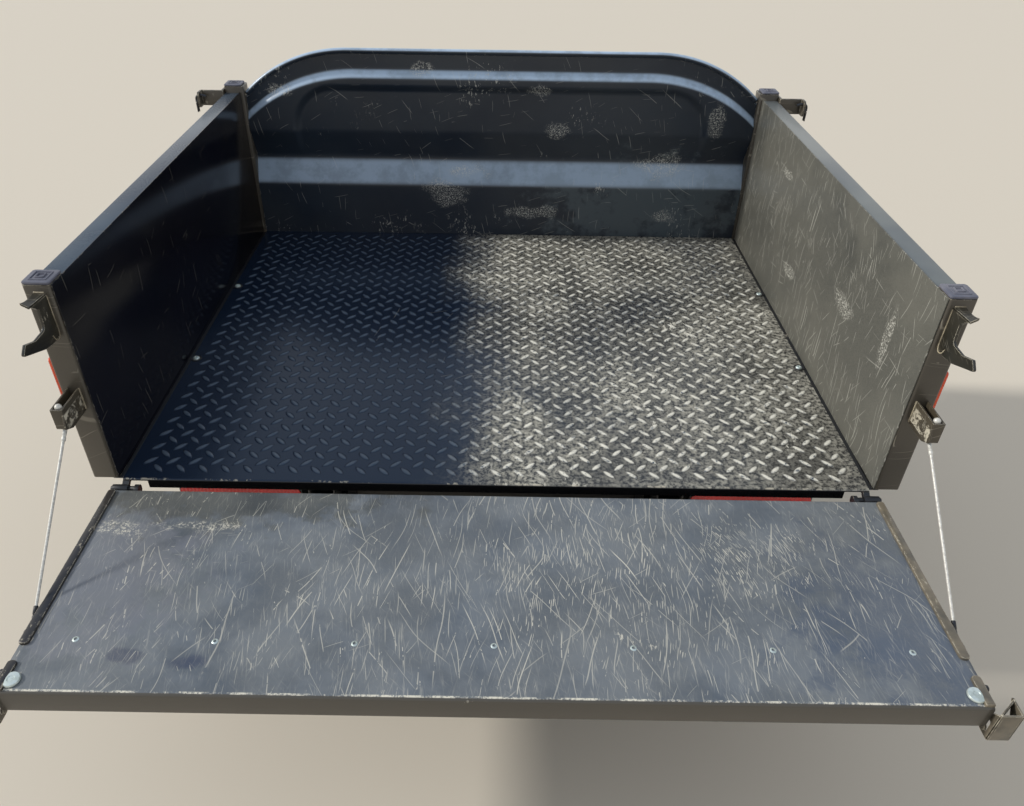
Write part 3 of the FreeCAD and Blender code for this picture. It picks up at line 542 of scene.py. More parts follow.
def paintedSteel(name, look):
    # paint under a dust film, with spots of other colours, strokes, scuffs, chips and worn edges; some looks
    # add painted sheen or shade
    material, shader, vector = startMaterial(name, look["paint"], look["plane"])
    rough = noise(vector, look["spotGrain"], 4.0, 0.65)
    fine = noise(vector, 260.0, 6.0, 0.75)
    dust = useGroup(dustGroup, vector, Patch=look["patch"], Cover=look["dustCover"])
    film = times(dust["Mask"], look["dust"])
    shade = noise(vector, look["shade"], 4.0, 0.6)
    color = blendColor(ramp(shade, 0.35, 0.65), look["paint"], look["paintAged"])
    for tint, share, spot in look["spots"]:
        color = blendColor(times(spotShare(vector, spot, look, rough), share), color, tint)
    color = blendColor(film, color, look["dustColor"])
    if "upSheen" in look:
        # painted sheen: faces that look up take a pale colour that stands for the sky's reflection on them
        tint, share = look["upSheen"]
        facing = splitVector(addNode("TexCoord", tree=shader.id_data).outputs["Normal"])[2]
        upSheen = times(ramp(facing, 0.12, 0.6), share, ramp(rough, 0.35, 0.6, 0.72, 1.0))
        color = blendColor(upSheen, color, tint)
    for angle, low, share in look["hair"]:
        rubbed = times(hairShare(vector, angle, low, low + 0.2), ramp(shade, 0.35, 0.6, 0.35 * share, share))
        color = blendColor(rubbed, color, look["bare"])
    color = addStrokes(vector, color, look, rough)
    if look["scuffs"]:
        scuffed = 0.0
        for spot in look["scuffs"]:
            scuffed = calc("MAXIMUM", spotShare(vector, spot, look, rough), scuffed)
        scuffed = times(scuffed, ramp(fine, 0.47, 0.64, 0.0, 0.8))
        color = blendColor(scuffed, color, look["bare"])
    if "rear" in look:
        # the folded rear face takes a browner painted shade, and its edge is knocked
        tint, edge = look["rear"]
        along = splitVector(vector)[1]
        color = blendColor(ramp(along, edge + 2.8 * mm, edge + 1.6 * mm), color, tint)
        off = calc("ABSOLUTE", calc("SUBTRACT", along, edge + 3.4 * mm))
        broken = timesPlus(rough, 0.8, times(fine, 0.8))
        knocks = times(ramp(off, 2.2 * mm, 1 * mm), ramp(broken, 0.74, 0.9, 0.0, 0.85))
        color = blendColor(knocks, color, look["bare"])
    chips = useGroup(chipGroup, vector, Places=7.0, Cut=look["chipCut"], Size=look["chipSize"])["Mask"]
    color = blendColor(times(chips, look["chips"]), color, look["bare"])
    wear = useGroup(wearGroup, vector, Reach=look["wearReach"], Grain=look["wearGrain"], Cut=look["wearCut"])
    worn = times(wear["Mask"], look["wear"])
    color = blendColor(worn, color, look["bare"])
    color = blendColor(times(dust["Speckle"], 0.15), color, look["dustColor"])
    gloss = timesPlus(worn, 0.12, timesPlus(film, 0.3, look["roughness"]))
    grain = times(noise(vector, 900.0), 0.01 * mm)
    height = timesPlus(noise(vector, 4.0, 1.0), look["waveHeight"], grain)
    finishShader(shader, color, calc("MINIMUM", gloss, 1.0), height)
    return material


def plainMetal(name, look):
    # bare or plated metal with a fine grain and dull patches
    material, shader, vector = startMaterial(name, look["color"])
    dull = ramp(noise(vector, look.get("patch", 60.0), 4.0, 0.65), 0.4, 0.65)
    color = blendColor(dull, look["color"], look["dull"])
    height = times(noise(vector, 1500.0), look.get("grainHeight", 0.01 * mm))
    finishShader(shader, color, timesPlus(dull, 0.22, look["roughness"]), height)
    shader.inputs["Metallic"].default_value = look["metal"]
    return material


def mouldedPlastic(name, look):
    # plastic or rubber with a leathery grain; ribs are (axis, count, height) flutes across one axis
    material, shader, vector = startMaterial(name, look["color"])
    age = ramp(noise(vector, 14.0, 4.0, 0.6), 0.35, 0.7)
    color = blendColor(age, look["color"], look["aged"])
    height = times(noise(vector, 700.0, 3.0), look.get("grainHeight", 0.03 * mm))
    if "ribs" in look:
        axis, count, ribHeight = look["ribs"]
        wave = calc("SINE", times(splitVector(vector)[axis], count))
        height = timesPlus(wave, ribHeight, height)
    finishShader(shader, color, timesPlus(age, 0.15, look["roughness"]), height)
    shader.inputs["Coat Weight"].default_value = look.get("coat", 0.0)
    return material


cream = (216, 208, 188)
gateY = (gate["edgeY"] - gate["depth"] / 2) * mm
deck = floorZ * mm
# what the painted steel shares: colours 0 to 255, spots and scuffs as in spotShare, strokes as in addStrokes
bedPaint = {
    "plane": "xz", "level": deck, "paint": (15, 17, 24), "paintAged": (24, 27, 34), "bare": cream,
    "dustColor": (104, 98, 84), "roughness": 0.3, "dust": 0.1, "dustCover": 0.4, "patch": 3.0, "shade": 2.2,
    "chips": 0.7, "chipCut": 0.66, "chipSize": 70.0, "wear": 0.7, "wearCut": 0.5, "wearReach": 1.5 * mm,
    "wearGrain": 90.0, "waveHeight": 0.3 * mm, "spotGrain": 16.0, "spots": [], "hair": [], "scratches": [],
    "scuffs": []}
paints = {
    "headPaintAndSheen": {
        # the paint's blue cast is a painted sky reflection on black paint
        "paint": (26, 36, 50), "paintAged": (40, 50, 62), "bare": (222, 221, 212), "chips": 0.5,
        # the pale blue laid on faces that look up is a painted sky reflection
        "chipCut": 0.6, "chipSize": 150.0, "upSheen": ((190, 214, 240), 0.9),
        "spots": [((78, 90, 98), 0.75, (0.42, 0.09, 0.3, 0.12))],
        "scratches": [(1.75, 50, 14, 0.6, 0.3, 0.7), (0.3, 40, 12, 0.6, 0.2, 0.6),
                      (2.5, 90, 30, 0.8, 0.2, 0.7)],
        "scuffs": [(0.156, 0.3, 0.035, 0.02), (-0.15, 0.11, 0.05, 0.05), (0.57, 0.33, 0.02, 0.04),
                   (0.46, 0.06, 0.035, 0.02), (0.11, 0.07, 0.08, 0.02), (-0.575, 0.39, 0.04, 0.015),
                   (-0.1, 0.18, 0.06, 0.02), (0.45, 0.2, 0.07, 0.03), (-0.2, 0.45, 0.03, 0.015),
                   (0.1, 0.4, 0.03, 0.015)]},
    "litDustyWallPaint": {
        # right wall: its grey is partly real dust and partly painted light, for the sun on this wall
        "plane": "yz", "paint": (62, 64, 62), "paintAged": (90, 90, 84), "dustColor": (126, 124, 114),
        "dust": 0.5, "dustCover": 0.55, "shade": 5.0, "bare": (236, 234, 222),
        "scratches": [(1.62, 90, 9, 0.7, 0.5, 0.8), (1.3, 50, 8, 0.6, 0.4, 0.8), (2.0, 60, 12, 0.6, 0.3, 0.8),
                      (0.15, 60, 14, 0.6, 0.3, 0.6)],
        "scuffs": [(-0.15, 0.2, 0.05, 0.02), (0.15, 0.12, 0.07, 0.015), (-0.35, 0.24, 0.012, 0.06),
                   (0.3, 0.3, 0.05, 0.01)]},
    "shadedWallPaint": {
        # left wall: near-black navy, the shaded copy of the wall paint (painted shade)
        "plane": "yz", "paint": (5, 6, 17), "paintAged": (8, 9, 22), "dust": 0.03, "roughness": 0.14,
        "chips": 0.4, "scratches": [(1.62, 60, 12, 0.5, 0.2, 0.4), (0.2, 50, 16, 0.5, 0.15, 0.3)]},
    "shadedRailPaint": {
        # left rail: the shaded copy of the rail paint, its blue a painted sky reflection (painted shade)
        "plane": "yz", "paint": (58, 70, 86), "paintAged": (78, 92, 106), "dust": 0.12, "wear": 0.6,
        "roughness": 0.25},
    "litRailPaint": {
        # right rail: the lit copy, paler as a painted reflection of the sky
        "plane": "yz", "paint": (98, 106, 112), "paintAged": (128, 134, 134), "dust": 0.25, "dustCover": 0.5,
        "roughness": 0.25},
    "postPaint": {
        "plane": "yz", "paint": (58, 54, 49), "paintAged": (82, 76, 67), "dust": 0.2, "dustCover": 0.55,
        "wear": 0.95, "wearCut": 0.4, "wearReach": 2 * mm, "chipSize": 130.0,
        "scratches": [(1.5, 30, 5, 0.5, 0.4, 0.5), (0.4, 24, 6, 0.5, 0.3, 0.4)]},
    "catchPaint": {
        "plane": "yz", "paint": (22, 22, 20), "paintAged": (44, 42, 34), "dust": 0.2, "wear": 1.0,
        "wearCut": 0.38, "wearReach": 1.8 * mm, "wearGrain": 60.0, "chipSize": 160.0,
        "scratches": [(0.5, 24, 5, 0.5, 0.4, 0.5)]},
    "bracketPaint": {
        "plane": "yz", "paint": (50, 46, 39), "paintAged": (84, 76, 62), "dust": 0.22, "chips": 0.1,
        "wear": 0.85, "wearCut": 0.42, "wearReach": 1.3 * mm, "chipSize": 160.0,
        "scratches": [(0.9, 20, 4, 0.5, 0.4, 0.5)]},
    "lipPaintAndShade": {
        "plane": "xy", "level": gateY, "paint": (84, 80, 72), "paintAged": (134, 124, 106), "shade": 16.0,
        "dust": 0.3, "wear": 1.0, "wearCut": 0.4, "wearReach": 3 * mm, "chips": 0.5, "chipCut": 0.55,
        # the dark spot over the left side is painted shade on faces turned from the light
        "chipSize": 190.0, "spots": [((12, 14, 28), 0.92, (-0.69, 0.0, 0.2, 4.0))]},
    "weldPaintAndHighlight": {
        # the pale weld paint is partly worn paint and partly a painted highlight of the lit beads
        "paint": (120, 110, 92), "paintAged": (188, 176, 150), "shade": 30.0, "dust": 0.2, "wear": 0.8,
        "roughness": 0.45},
    "gatePaintAndLight": {
        # the blue-grey paint is a painted sky reflection on black paint; dust, rubbing, scuffs and strokes
        # are real wear
        "plane": "xy", "level": gateY, "paint": (86, 95, 106), "paintAged": (114, 122, 131),
        "dustColor": (134, 135, 130), "dust": 0.34, "dustCover": 0.45, "roughness": 0.32, "patch": 7.0,
        "chipSize": 90.0, "waveHeight": 0.2 * mm, "shade": 9.0, "spotGrain": 20.0, "bare": (240, 236, 220),
        # the rear face's browner tone is painted shade
        "rear": ((82, 78, 71), gate["endY"] * mm),
        "hair": [(1.75, 0.56, 0.2), (1.35, 0.57, 0.16), (2.4, 0.6, 0.14)],
        "spots": [((118, 123, 136), 0.7, (-0.62, 0.02, 0.14, 0.2)),
                  ((74, 76, 72), 0.8, (-0.45, 0.18, 0.3, 0.06)),
                  ((70, 84, 106), 0.7, (0.6, -0.06, 0.16, 0.2)),
                  ((44, 54, 84), 0.7, (-0.53, -0.14, 0.03, 0.014)),
                  ((44, 54, 84), 0.6, (-0.44, -0.15, 0.03, 0.012))],
        "scuffs": [(-0.635, 0.112, 0.04, 0.02), (-0.514, 0.118, 0.075, 0.012)],
        "scratches": [(1.62, 70, 6, 0.6, 0.5, 1.0, (0.1, 0.0, 0.75, 0.3)),
                      (1.25, 110, 9, 0.65, 0.5, 1.0, (0.0, 0.0, 0.65, 0.3)),
                      (1.95, 130, 10, 0.7, 0.5, 1.0, (0.15, 0.0, 0.7, 0.3)),
                      (1.45, 240, 24, 0.9, 0.45, 1.0, (0.1, 0.0, 0.85, 0.32)),
                      (2.2, 160, 20, 0.75, 0.4, 0.9, (0.2, 0.0, 0.85, 0.32)),
                      (0.7, 80, 18, 0.7, 0.2, 0.8), (1.6, 60, 16, 0.6, 0.3, 0.7),
                      (0.06, 24, 5, 0.5, 0.35, 0.7, (-0.52, 0.08, 0.1, 0.07)),
                      (1.75, 24, 3, 0.6, 0.8, 1.0, (0.42, 0.06, 0.14, 0.09)),
                      (1.4, 34, 3.6, 0.55, 0.7, 1.0, (0.18, 0.0, 0.26, 0.16))]},
    "outerPaint": {
        "plane": "xy", "paint": (40, 42, 45), "paintAged": (58, 59, 60), "shade": 4.0, "dust": 0.3,
        "dustCover": 0.5, "chips": 0.5,
        "scratches": [(1.55, 40, 12, 0.5, 0.2, 0.7), (0.15, 50, 14, 0.5, 0.2, 0.6)]},
    "leverPaint": {
        "plane": "yz", "paint": (82, 78, 68), "paintAged": (118, 110, 96), "shade": 22.0, "dust": 0.3,
        "wear": 1.0, "wearCut": 0.38, "wearReach": 2 * mm},
    "framePaint": {"plane": "xy", "dust": 0.08, "dustCover": 0.5, "roughness": 0.42, "chips": 0.3},
}
steel = {name: paintedSteel(name, {**bedPaint, **look}) for name, look in paints.items()}
zincMetal = plainMetal("zincPlate", {"color": (214, 224, 220), "dull": (186, 196, 190), "roughness": 0.35,
                                     "metal": 0.5})
cableMetal = plainMetal("stayCable", {"color": (228, 226, 218), "dull": (200, 198, 190), "roughness": 0.35,
                                      "metal": 0.2, "patch": 200.0})
darkMetal = plainMetal("darkFitting", {"color": (46, 46, 50), "dull": (70, 68, 64), "roughness": 0.35,
                                       "metal": 0.3, "patch": 120.0})
chromeMetal = plainMetal("chromeRod", {"color": (214, 216, 220), "dull": (190, 192, 198), "roughness": 0.12,
                                       "metal": 1.0, "grainHeight": 0.002 * mm})
capPlastic = mouldedPlastic("capPlastic", {"color": (92, 94, 108), "aged": (124, 124, 134),
                                           "roughness": 0.42})
lampPlastic = mouldedPlastic("lampPlastic", {"color": (26, 26, 28), "aged": (40, 40, 42), "roughness": 0.45})
padRubber = mouldedPlastic("padRubber", {"color": (28, 27, 26), "aged": (52, 50, 47), "roughness": 0.75,
                                         "grainHeight": 0.08 * mm})
redLens = mouldedPlastic("redLens", {"color": (222, 8, 16), "aged": (196, 5, 10), "roughness": 0.16,
                                     "coat": 0.4, "ribs": (0, 900.0, 0.4 * mm)})
amberLens = mouldedPlastic("amberLens", {"color": (238, 84, 34), "aged": (220, 66, 22), "roughness": 0.18,
                                         "coat": 0.4, "ribs": (2, 1600.0, 0.3 * mm)})
print("materials:", len(bpy.data.materials))


def makeTreadMaterial():
    # black tread plate, navy as a painted sky reflection; to the right worn pale lugs and a dusty ground
    look = {"paint": (18, 32, 52), "hem": (14, 15, 18), "lugSheen": (84, 106, 130), "ground": (196, 193, 180),
            "under": (62, 61, 57), "worn": (255, 252, 238), "bare": cream, "lugHeight": 1.8 * mm,
            "level": 0.0, "scratches": [(1.4, 60, 12, 0.6, 0.3, 0.6, (0.3, 0.1, 0.5, 0.5)),
                                       (0.3, 80, 20, 0.6, 0.2, 0.6, (0.3, 0.0, 0.5, 0.5))]}
    material, shader, vector = startMaterial("treadPaintAndLight", look["paint"])
    x, y, z = splitVector(vector)
    raised = ramp(z, deck + 0.25 * look["lugHeight"], deck + 0.95 * look["lugHeight"])
    rough = noise(vector, 5.0, 4.0, 0.65)
    use = noise(vector, 2.6, 4.0, 0.6, 0.5)
    # partly painted light: dust and worn lugs only on the right half, where the sun falls, so the left stays
    # dark
    dustySunlitSide = ramp(timesPlus(rough, 0.3, x), 0.0, 0.22)
    wearAndSunlight = times(dustySunlitSide, ramp(use, 0.3, 0.6, 0.4, 1.0), ramp(z, deck - 4 * mm, deck - 1 * mm))
    film = ramp(noise(vector, 7.0, 6.0, 0.72), 0.36, 0.6, 0.3, 1.0)
    grit = ramp(noise(vector, 120.0, 5.0, 0.72), 0.38, 0.64)
    ground = times(film, grit, times(wearAndSunlight, 0.85))
    color = blendColor(times(wearAndSunlight, 0.9), look["paint"], look["under"])
    color = blendColor(ground, color, look["ground"])
    # painted sheen: the raised lugs are lightened to a pale blue that stands for their reflection of the sky
    color = blendColor(times(raised, 0.5), color, look["lugSheen"])
    rub = ramp(noise(vector, 110.0, 5.0, 0.7), 0.34, 0.5)
    worn = times(raised, rub, timesPlus(wearAndSunlight, 0.86, 0.04))
    color = blendColor(worn, color, look["worn"])
    color = addStrokes(vector, color, look, rough)
    chips = useGroup(chipGroup, vector, Places=5.0, Cut=0.56, Size=70.0)["Mask"]
    color = blendColor(times(chips, wearAndSunlight, 0.6), color, look["worn"])
    # knocks along the bend at the rear edge, and a dark hem below it
    edge = ramp(y, (tailY + 5) * mm, (tailY + 2) * mm)
    onTop = ramp(z, (floorZ - 3) * mm, (floorZ - 1) * mm)
    knock = ramp(noise(vector, 45.0, 5.0, 0.7), 0.54, 0.6)
    color = blendColor(times(edge, onTop, knock, 0.6), color, look["bare"])
    color = blendColor(ramp(z, deck - 1 * mm, deck - 3 * mm), color, look["hem"])
    gloss = timesPlus(worn, 0.15, timesPlus(ground, 0.4, 0.24))
    grain = times(noise(vector, 500.0, 3.0, 0.6), 0.06 * mm)
    height = timesPlus(noise(vector, 3.5, 1.0), 0.8 * mm, grain)
    finishShader(shader, color, calc("MINIMUM", gloss, 1.0), height)
    return material


treadPaintAndLight = makeTreadMaterial()


def makeFloor():
    # tread plate: a flat sheet bent down into a hem behind, with crossed rows of lugs
    tread = {"pitch": 41.3, "phase": 31.0, "long": 33.0, "wide": 12.5, "high": 1.8, "sunk": 0.15,
             "margin": 3.0, "thick": 3.0, "bend": 4.0, "hemInset": 44.0}
    half, low, bend, thick = floorHigh[0], floorLow[2], tread["bend"], tread["thick"]
    # side profile of the sheet in (y, z)
    arc = np.linspace(0, math.pi / 2, 7)

    def bendArc(radius):
        # a quarter circle, from the floor's top down to its rear face
        return np.column_stack([tailY + bend - radius * np.sin(arc), floorZ - bend + radius * np.cos(arc)])

    profile = np.vstack([[(frontY, floorZ)], bendArc(bend), [(tailY, low), (tailY + thick, low)],
                         bendArc(bend - thick)[::-1], [(frontY, floorZ - thick)]])
    inset = half - tread["hemInset"]
    stations = np.array([-half, -inset, -inset + 0.1, inset - 0.1, inset, half])
    sheet = np.zeros((len(stations), len(profile), 3))
    sheet[..., 0] = stations[:, None]
    sheet[..., 1:] = profile
    short = sheet[:, :, 2] < floorZ - bend
    for row in (0, 1, 4, 5):
        sheet[row, short[row], 2] = floorZ - bend
    # one lug is a crowned lens of two arcs: seven rows of five points and two tips
    U, V = np.meshgrid(np.linspace(-0.9, 0.9, 7), [-1, -0.62, 0, 0.62, 1], indexing="ij")
    lens = np.stack([U * tread["long"] / 2, V * (1 - U ** 2) ** 0.9 * tread["wide"] / 2,
                     tread["high"] * (1 - np.abs(V) ** 2.6) * (1 - np.abs(U) ** 4) - tread["sunk"]], -1)
    tips = [[-tread["long"] / 2, 0, -tread["sunk"]], [tread["long"] / 2, 0, -tread["sunk"]]]
    template = np.vstack([lens.reshape(-1, 3), tips])
    ends = [[35, k + 1, k] for k in range(4)] + [[36, 30 + k, 31 + k] for k in range(4)]
    under = [35, 0, 5, 10, 15, 20, 25, 30, 36, 34, 29, 24, 19, 14, 9, 4]
    lugFaces = gridShell(lens)[1] + ends + [under]
    pitch = tread["pitch"]
    xs = np.arange(-half // pitch, half // pitch + 2) * pitch
    ys = tailY + tread["phase"] + np.arange(-2, 27) * pitch
    # a lug lies at 45 degrees, so from its middle it reaches about 0.37 of its length along x and y
    reach = tread["long"] * 0.37 + tread["margin"]
    shells = [tubeShell(sheet)]
    for shift, turn in ((0.0, math.radians(-45)), (pitch / 2, math.radians(45))):
        c, s = math.cos(turn), math.sin(turn)
        turned = template @ np.array([[c, s, 0], [-s, c, 0], [0, 0, 1]])
        for y in ys + shift:
            for x in xs + shift:
                if abs(x) < half - reach and tailY + reach < y < frontY - reach:
                    shells.append((turned + (x, y, floorZ), lugFaces))
    makePiece("treadFloor", joinShells(shells), treadPaintAndLight, ["floor_plate"], sharp=50)
    # a strip on each side closes the joint between the floor and the wall
    strip = plateShell(rectangle(half - 0.5, wallLow[0] + 0.3, tailY + 6, frontY, 0.2, 2), floorZ - 2.6,
                       floorZ - 1.4, "xy", 0.2)
    # two screws on each side, each in a dark dished collar whose dark is a painted shade of the hole round
    # the screw
    screw = {"inset": 9.0, "places": (254.0, -83.0), "sunk": 0.2}
    shadeCollars, screws = [], []
    for y in screw["places"]:
        at = (half - screw["inset"], y, floorZ - screw["sunk"])
        shadeCollars.append(latheShell([(0, 0), (11.5, 0), (11.5, 1.6), (10.8, 2.4), (10, 2.4), (8, 0.9),
                                   (0, 0.9)], at, (0, 0, 1)))
        screws.append(latheShell([(0, 0.6), (7, 0.6), (7, 2), (5.8, 3.6), (4, 4.4), (3, 4.5), (2.5, 2.6),
                                  (0, 2.6)], at, (0, 0, 1), 24))
    makePiece("floorShadeCollars", bothSides(*shadeCollars), darkMetal)
    makePiece("floorScrews", bothSides(*screws), zincMetal)
    makePiece("floorJoints", bothSides(strip), steel["framePaint"])
    print("floor:", len(shells) - 1, "lugs")


makeFloor()


def makeHeadboard():
    # one pressed sheet; heights are over the floor, depths go forward from the sheet's rear face
    head = {"half": 672.0, "bottom": -20.0, "top": 494.0, "shoulder": 395.0, "arch": 400.0, "setBack": 14.0,
            "ridgeHigh": 443.0, "ridgeLow": 427.0, "ridgeShoulder": 380.0, "ridgeArch": 440.0,
            "fieldHalf": 545.0, "fieldHigh": 400.0, "fieldRound": 105.0, "fieldDepth": 12.0,
            "fieldLow": 212.0, "fieldSlope": 18.2, "grooveAt": (143, 206, 218, 285), "grooveDepth": 30.0,
            "sheet": 2.5, "roll": 7.0, "rollIn": 1.5, "hemStart": 12.5, "flange": 44.0, "soft": 4.0,
            "rows": 130}
    face, roll, rows = nodeBox("headboard")[0][1], head["roll"], head["rows"]

    def archTop(x, top, shoulder, radius):
        # height of a flat-topped arch: level to the shoulder, then a circle
        past = np.clip(np.abs(x) - shoulder, 0, radius * 0.95)
        return top - (radius - np.sqrt(radius ** 2 - past ** 2))

    def smooth(share):
        # an eased step from 0 to 1
        share = np.clip(share, 0, 1)
        return share * share * (3 - 2 * share)

    half = head["half"]
    across = np.concatenate([[-half], np.linspace(-half + 3, half - 3, 330), [half]])
    topLine = archTop(across, head["top"], head["shoulder"], head["arch"])
    X = np.repeat(across[:, None], rows, 1)
    Z = head["bottom"] + np.linspace(0, 1, rows) * (topLine[:, None] - head["hemStart"] - head["bottom"])

    # the cross groove is a profile in z alone, softened at its corners
    fine = np.linspace(-60, 560, 2480)
    groove = np.interp(fine, head["grooveAt"], [0, 1, 1, 0], left=0, right=0) * head["grooveDepth"]
    kernel = np.exp(-0.5 * (np.linspace(-3, 3, 97)) ** 2)
    Y = np.interp(Z, fine, np.convolve(groove, kernel / kernel.sum(), "same"))

    # sunk field: distance to a box with round upper corners; it runs out into the groove's floor
    px = np.abs(X) - (head["fieldHalf"] - head["fieldRound"])
    pz = Z - (head["fieldHigh"] - head["fieldRound"])
    outside = np.hypot(np.maximum(px, 0), np.maximum(pz, 0)) + np.minimum(np.maximum(px, pz), 0)
    sunk = smooth(0.5 - (outside - head["fieldRound"]) / head["fieldSlope"]) * (Z > head["fieldLow"])
    Y = Y + head["fieldDepth"] * sunk * (1 - np.clip(Y / head["grooveDepth"], 0, 1))

    # rim: set back above the ridge, which follows its own, rounder arch
    high = archTop(X, head["ridgeHigh"], head["ridgeShoulder"], head["ridgeArch"])
    low = archTop(X, head["ridgeLow"], head["ridgeShoulder"], head["ridgeArch"])
    Y = Y + head["setBack"] * smooth((Z - low + head["soft"]) / (high - low + 2 * head["soft"]))

    # rolled hem: rows round a circle in the plane square to the arch
    slope = np.gradient(topLine, across)
    down = np.stack([slope, -np.ones_like(slope)], -1)
    down /= np.linalg.norm(down, axis=1, keepdims=True)
    turn = np.radians(np.linspace(-60, 232, 16))
    out = roll - roll * np.sin(turn)[None, :] - head["rollIn"]
    hem = np.zeros((len(across), len(turn), 3))
    hem[..., 0] = across[:, None] + down[:, :1] * out
    hem[..., 1] = face + head["setBack"] + head["sheet"] / 2 - roll * np.cos(turn)[None, :]
    hem[..., 2] = floorZ + topLine[:, None] + down[:, 1:] * out
    front = np.concatenate([np.stack([X, face + Y, floorZ + Z], -1), hem], 1)
    # side flanges turned back round a small bend
    flange = np.linspace(head["flange"], 5, 5)
    left = np.repeat(front[:1], len(flange), 0)
    left[..., 1] = np.minimum(front[:1, :, 1] + flange[:, None], face + head["flange"])
    right = left[::-1].copy()
    right[..., 0] *= -1
    for side, row in ((left, front[:1]), (right, front[-1:])):
        side[:, rows:, 1] = row[:, rows:, 1]
    whole = np.concatenate([left, front, right], 0)
    makePiece("headboardPanel", gridShell(whole), steel["headPaintAndSheen"], ["headboard"], sharp=60,
              thick=head["sheet"])
    print("headboard:", whole.shape[0] * whole.shape[1], "points")


makeHeadboard()


def makeSides():
    # side walls with uprights, top rails, posts and the caps on them
    side = {"sheet": 2.0, "hats": 3, "hatDepth": 26.0, "hatWidth": 70.0, "hatRound": 7.0, "hatTaper": 6.0,
            "hatShift": 22.0, "posts": 44.0, "postRound": 5.0, "railRound": 4.0, "sill": 60.0}
    wallIn, wallOut = wallLow[0], wallLow[0] + side["sheet"]
    lowZ, topZ = wallLow[2], wallHigh[2]
    rearY, sillY = postLow[1] + side["sheet"], tailY + side["sill"]
    # wall: a flat sheet that reaches below the floor ahead of the sill, with uprights on its outer face
    outline = roundOutline([(rearY, floorZ, 0), (sillY, floorZ, 2), (sillY, lowZ, 0), (frontY, lowZ, 0),
                            (frontY, topZ, 1), (rearY, topZ, 1)])
    shells = [plateShell(outline, wallIn, wallOut, "yz", 0.5)]
    pitch = (frontY - tailY - side["posts"]) / (side["hats"] + 1)
    hatIn, hatOut = wallOut - 0.5, wallOut + side["hatDepth"] - 0.5
    for k in range(side["hats"]):
        y0 = postHigh[1] + (k + 1) * pitch - side["hatWidth"] / 2 - side["hatShift"]
        y1 = y0 + side["hatWidth"]
        hat = roundOutline([(hatIn, y0, 0), (hatOut, y0 + side["hatTaper"], side["hatRound"]),
                            (hatOut, y1 - side["hatTaper"], side["hatRound"]), (hatIn, y1, 0)])
        shells.append(plateShell(hat, floorZ - 3, railLow[2], "xy", 0.5))
    # the right wall takes the lit copy of the paint and the left the shaded one: painted light and painted
    # shade
    makePair("sideWall", joinShells(shells), steel["litDustyWallPaint"], "side_wall_",
             leftMaterial=steel["shadedWallPaint"])
    rail = plateShell(rectangle(railLow[0], railHigh[0], railLow[2], railHigh[2], side["railRound"]),
                      railLow[1], railHigh[1], "xz", 0.5)
    # the right rail takes the lit copy and the left the shaded one: painted light and painted shade
    makePair("sideRail", rail, steel["litRailPaint"], "side_top_rail_", leftMaterial=steel["shadedRailPaint"])
    for name, low, high, standsFor in (("rearPost", postLow, postHigh, "rear_post_"),
                                       ("cornerPost", cornerLow, cornerHigh, "corner_post_")):
        outline = rectangle(low[0], high[0], low[1], high[1], side["postRound"])
        post = plateShell(outline, low[2], high[2], "xy")
        makePair(name, post, steel["postPaint"], standsFor)

    cap = {"size": 44.0, "high": 5.0, "soft": 2.2, "frames": ((7.5, 1.3), (14.5, 2.1))}

    def capShell(x0, y0, z):
        # moulded cap with raised square frames on top
        x1, y1, top = x0 + cap["size"], y0 + cap["size"], z + cap["high"]
        parts = [plateShell(rectangle(x0, x1, y0, y1, 5), z, top, "xy", cap["soft"])]
        for inset, rise in cap["frames"]:
            parts.append(frameShell(rectangle(x0 + inset, x1 - inset, y0 + inset, y1 - inset, 2.5), [
                (0, top - 0.5), (0.3, top + rise * 0.7), (0.9, top + rise), (2.2, top + rise),
                (2.8, top + rise * 0.7), (3.1, top - 0.5)], "xy"))
        return joinShells(parts)

    caps = bothSides(capShell(postLow[0], postLow[1], postHigh[2]),
                     capShell(cornerHigh[0] - cap["size"], cornerLow[1], cornerHigh[2]))
    makePiece("postCaps", caps, capPlastic, ["post_caps"])
    print("sides: walls, rails, posts, caps")


makeSides()


def weldBead(knots, radius, count):
    # a laid bead: round section along a path, swollen at every pool of weld
    return pathShell(smoothPath(knots, count), radius, 8,
                     lambda turn, way: 1 + 0.16 * np.abs(np.sin(way * 1.1)) + 0.05 * np.sin(3 * turn + way))


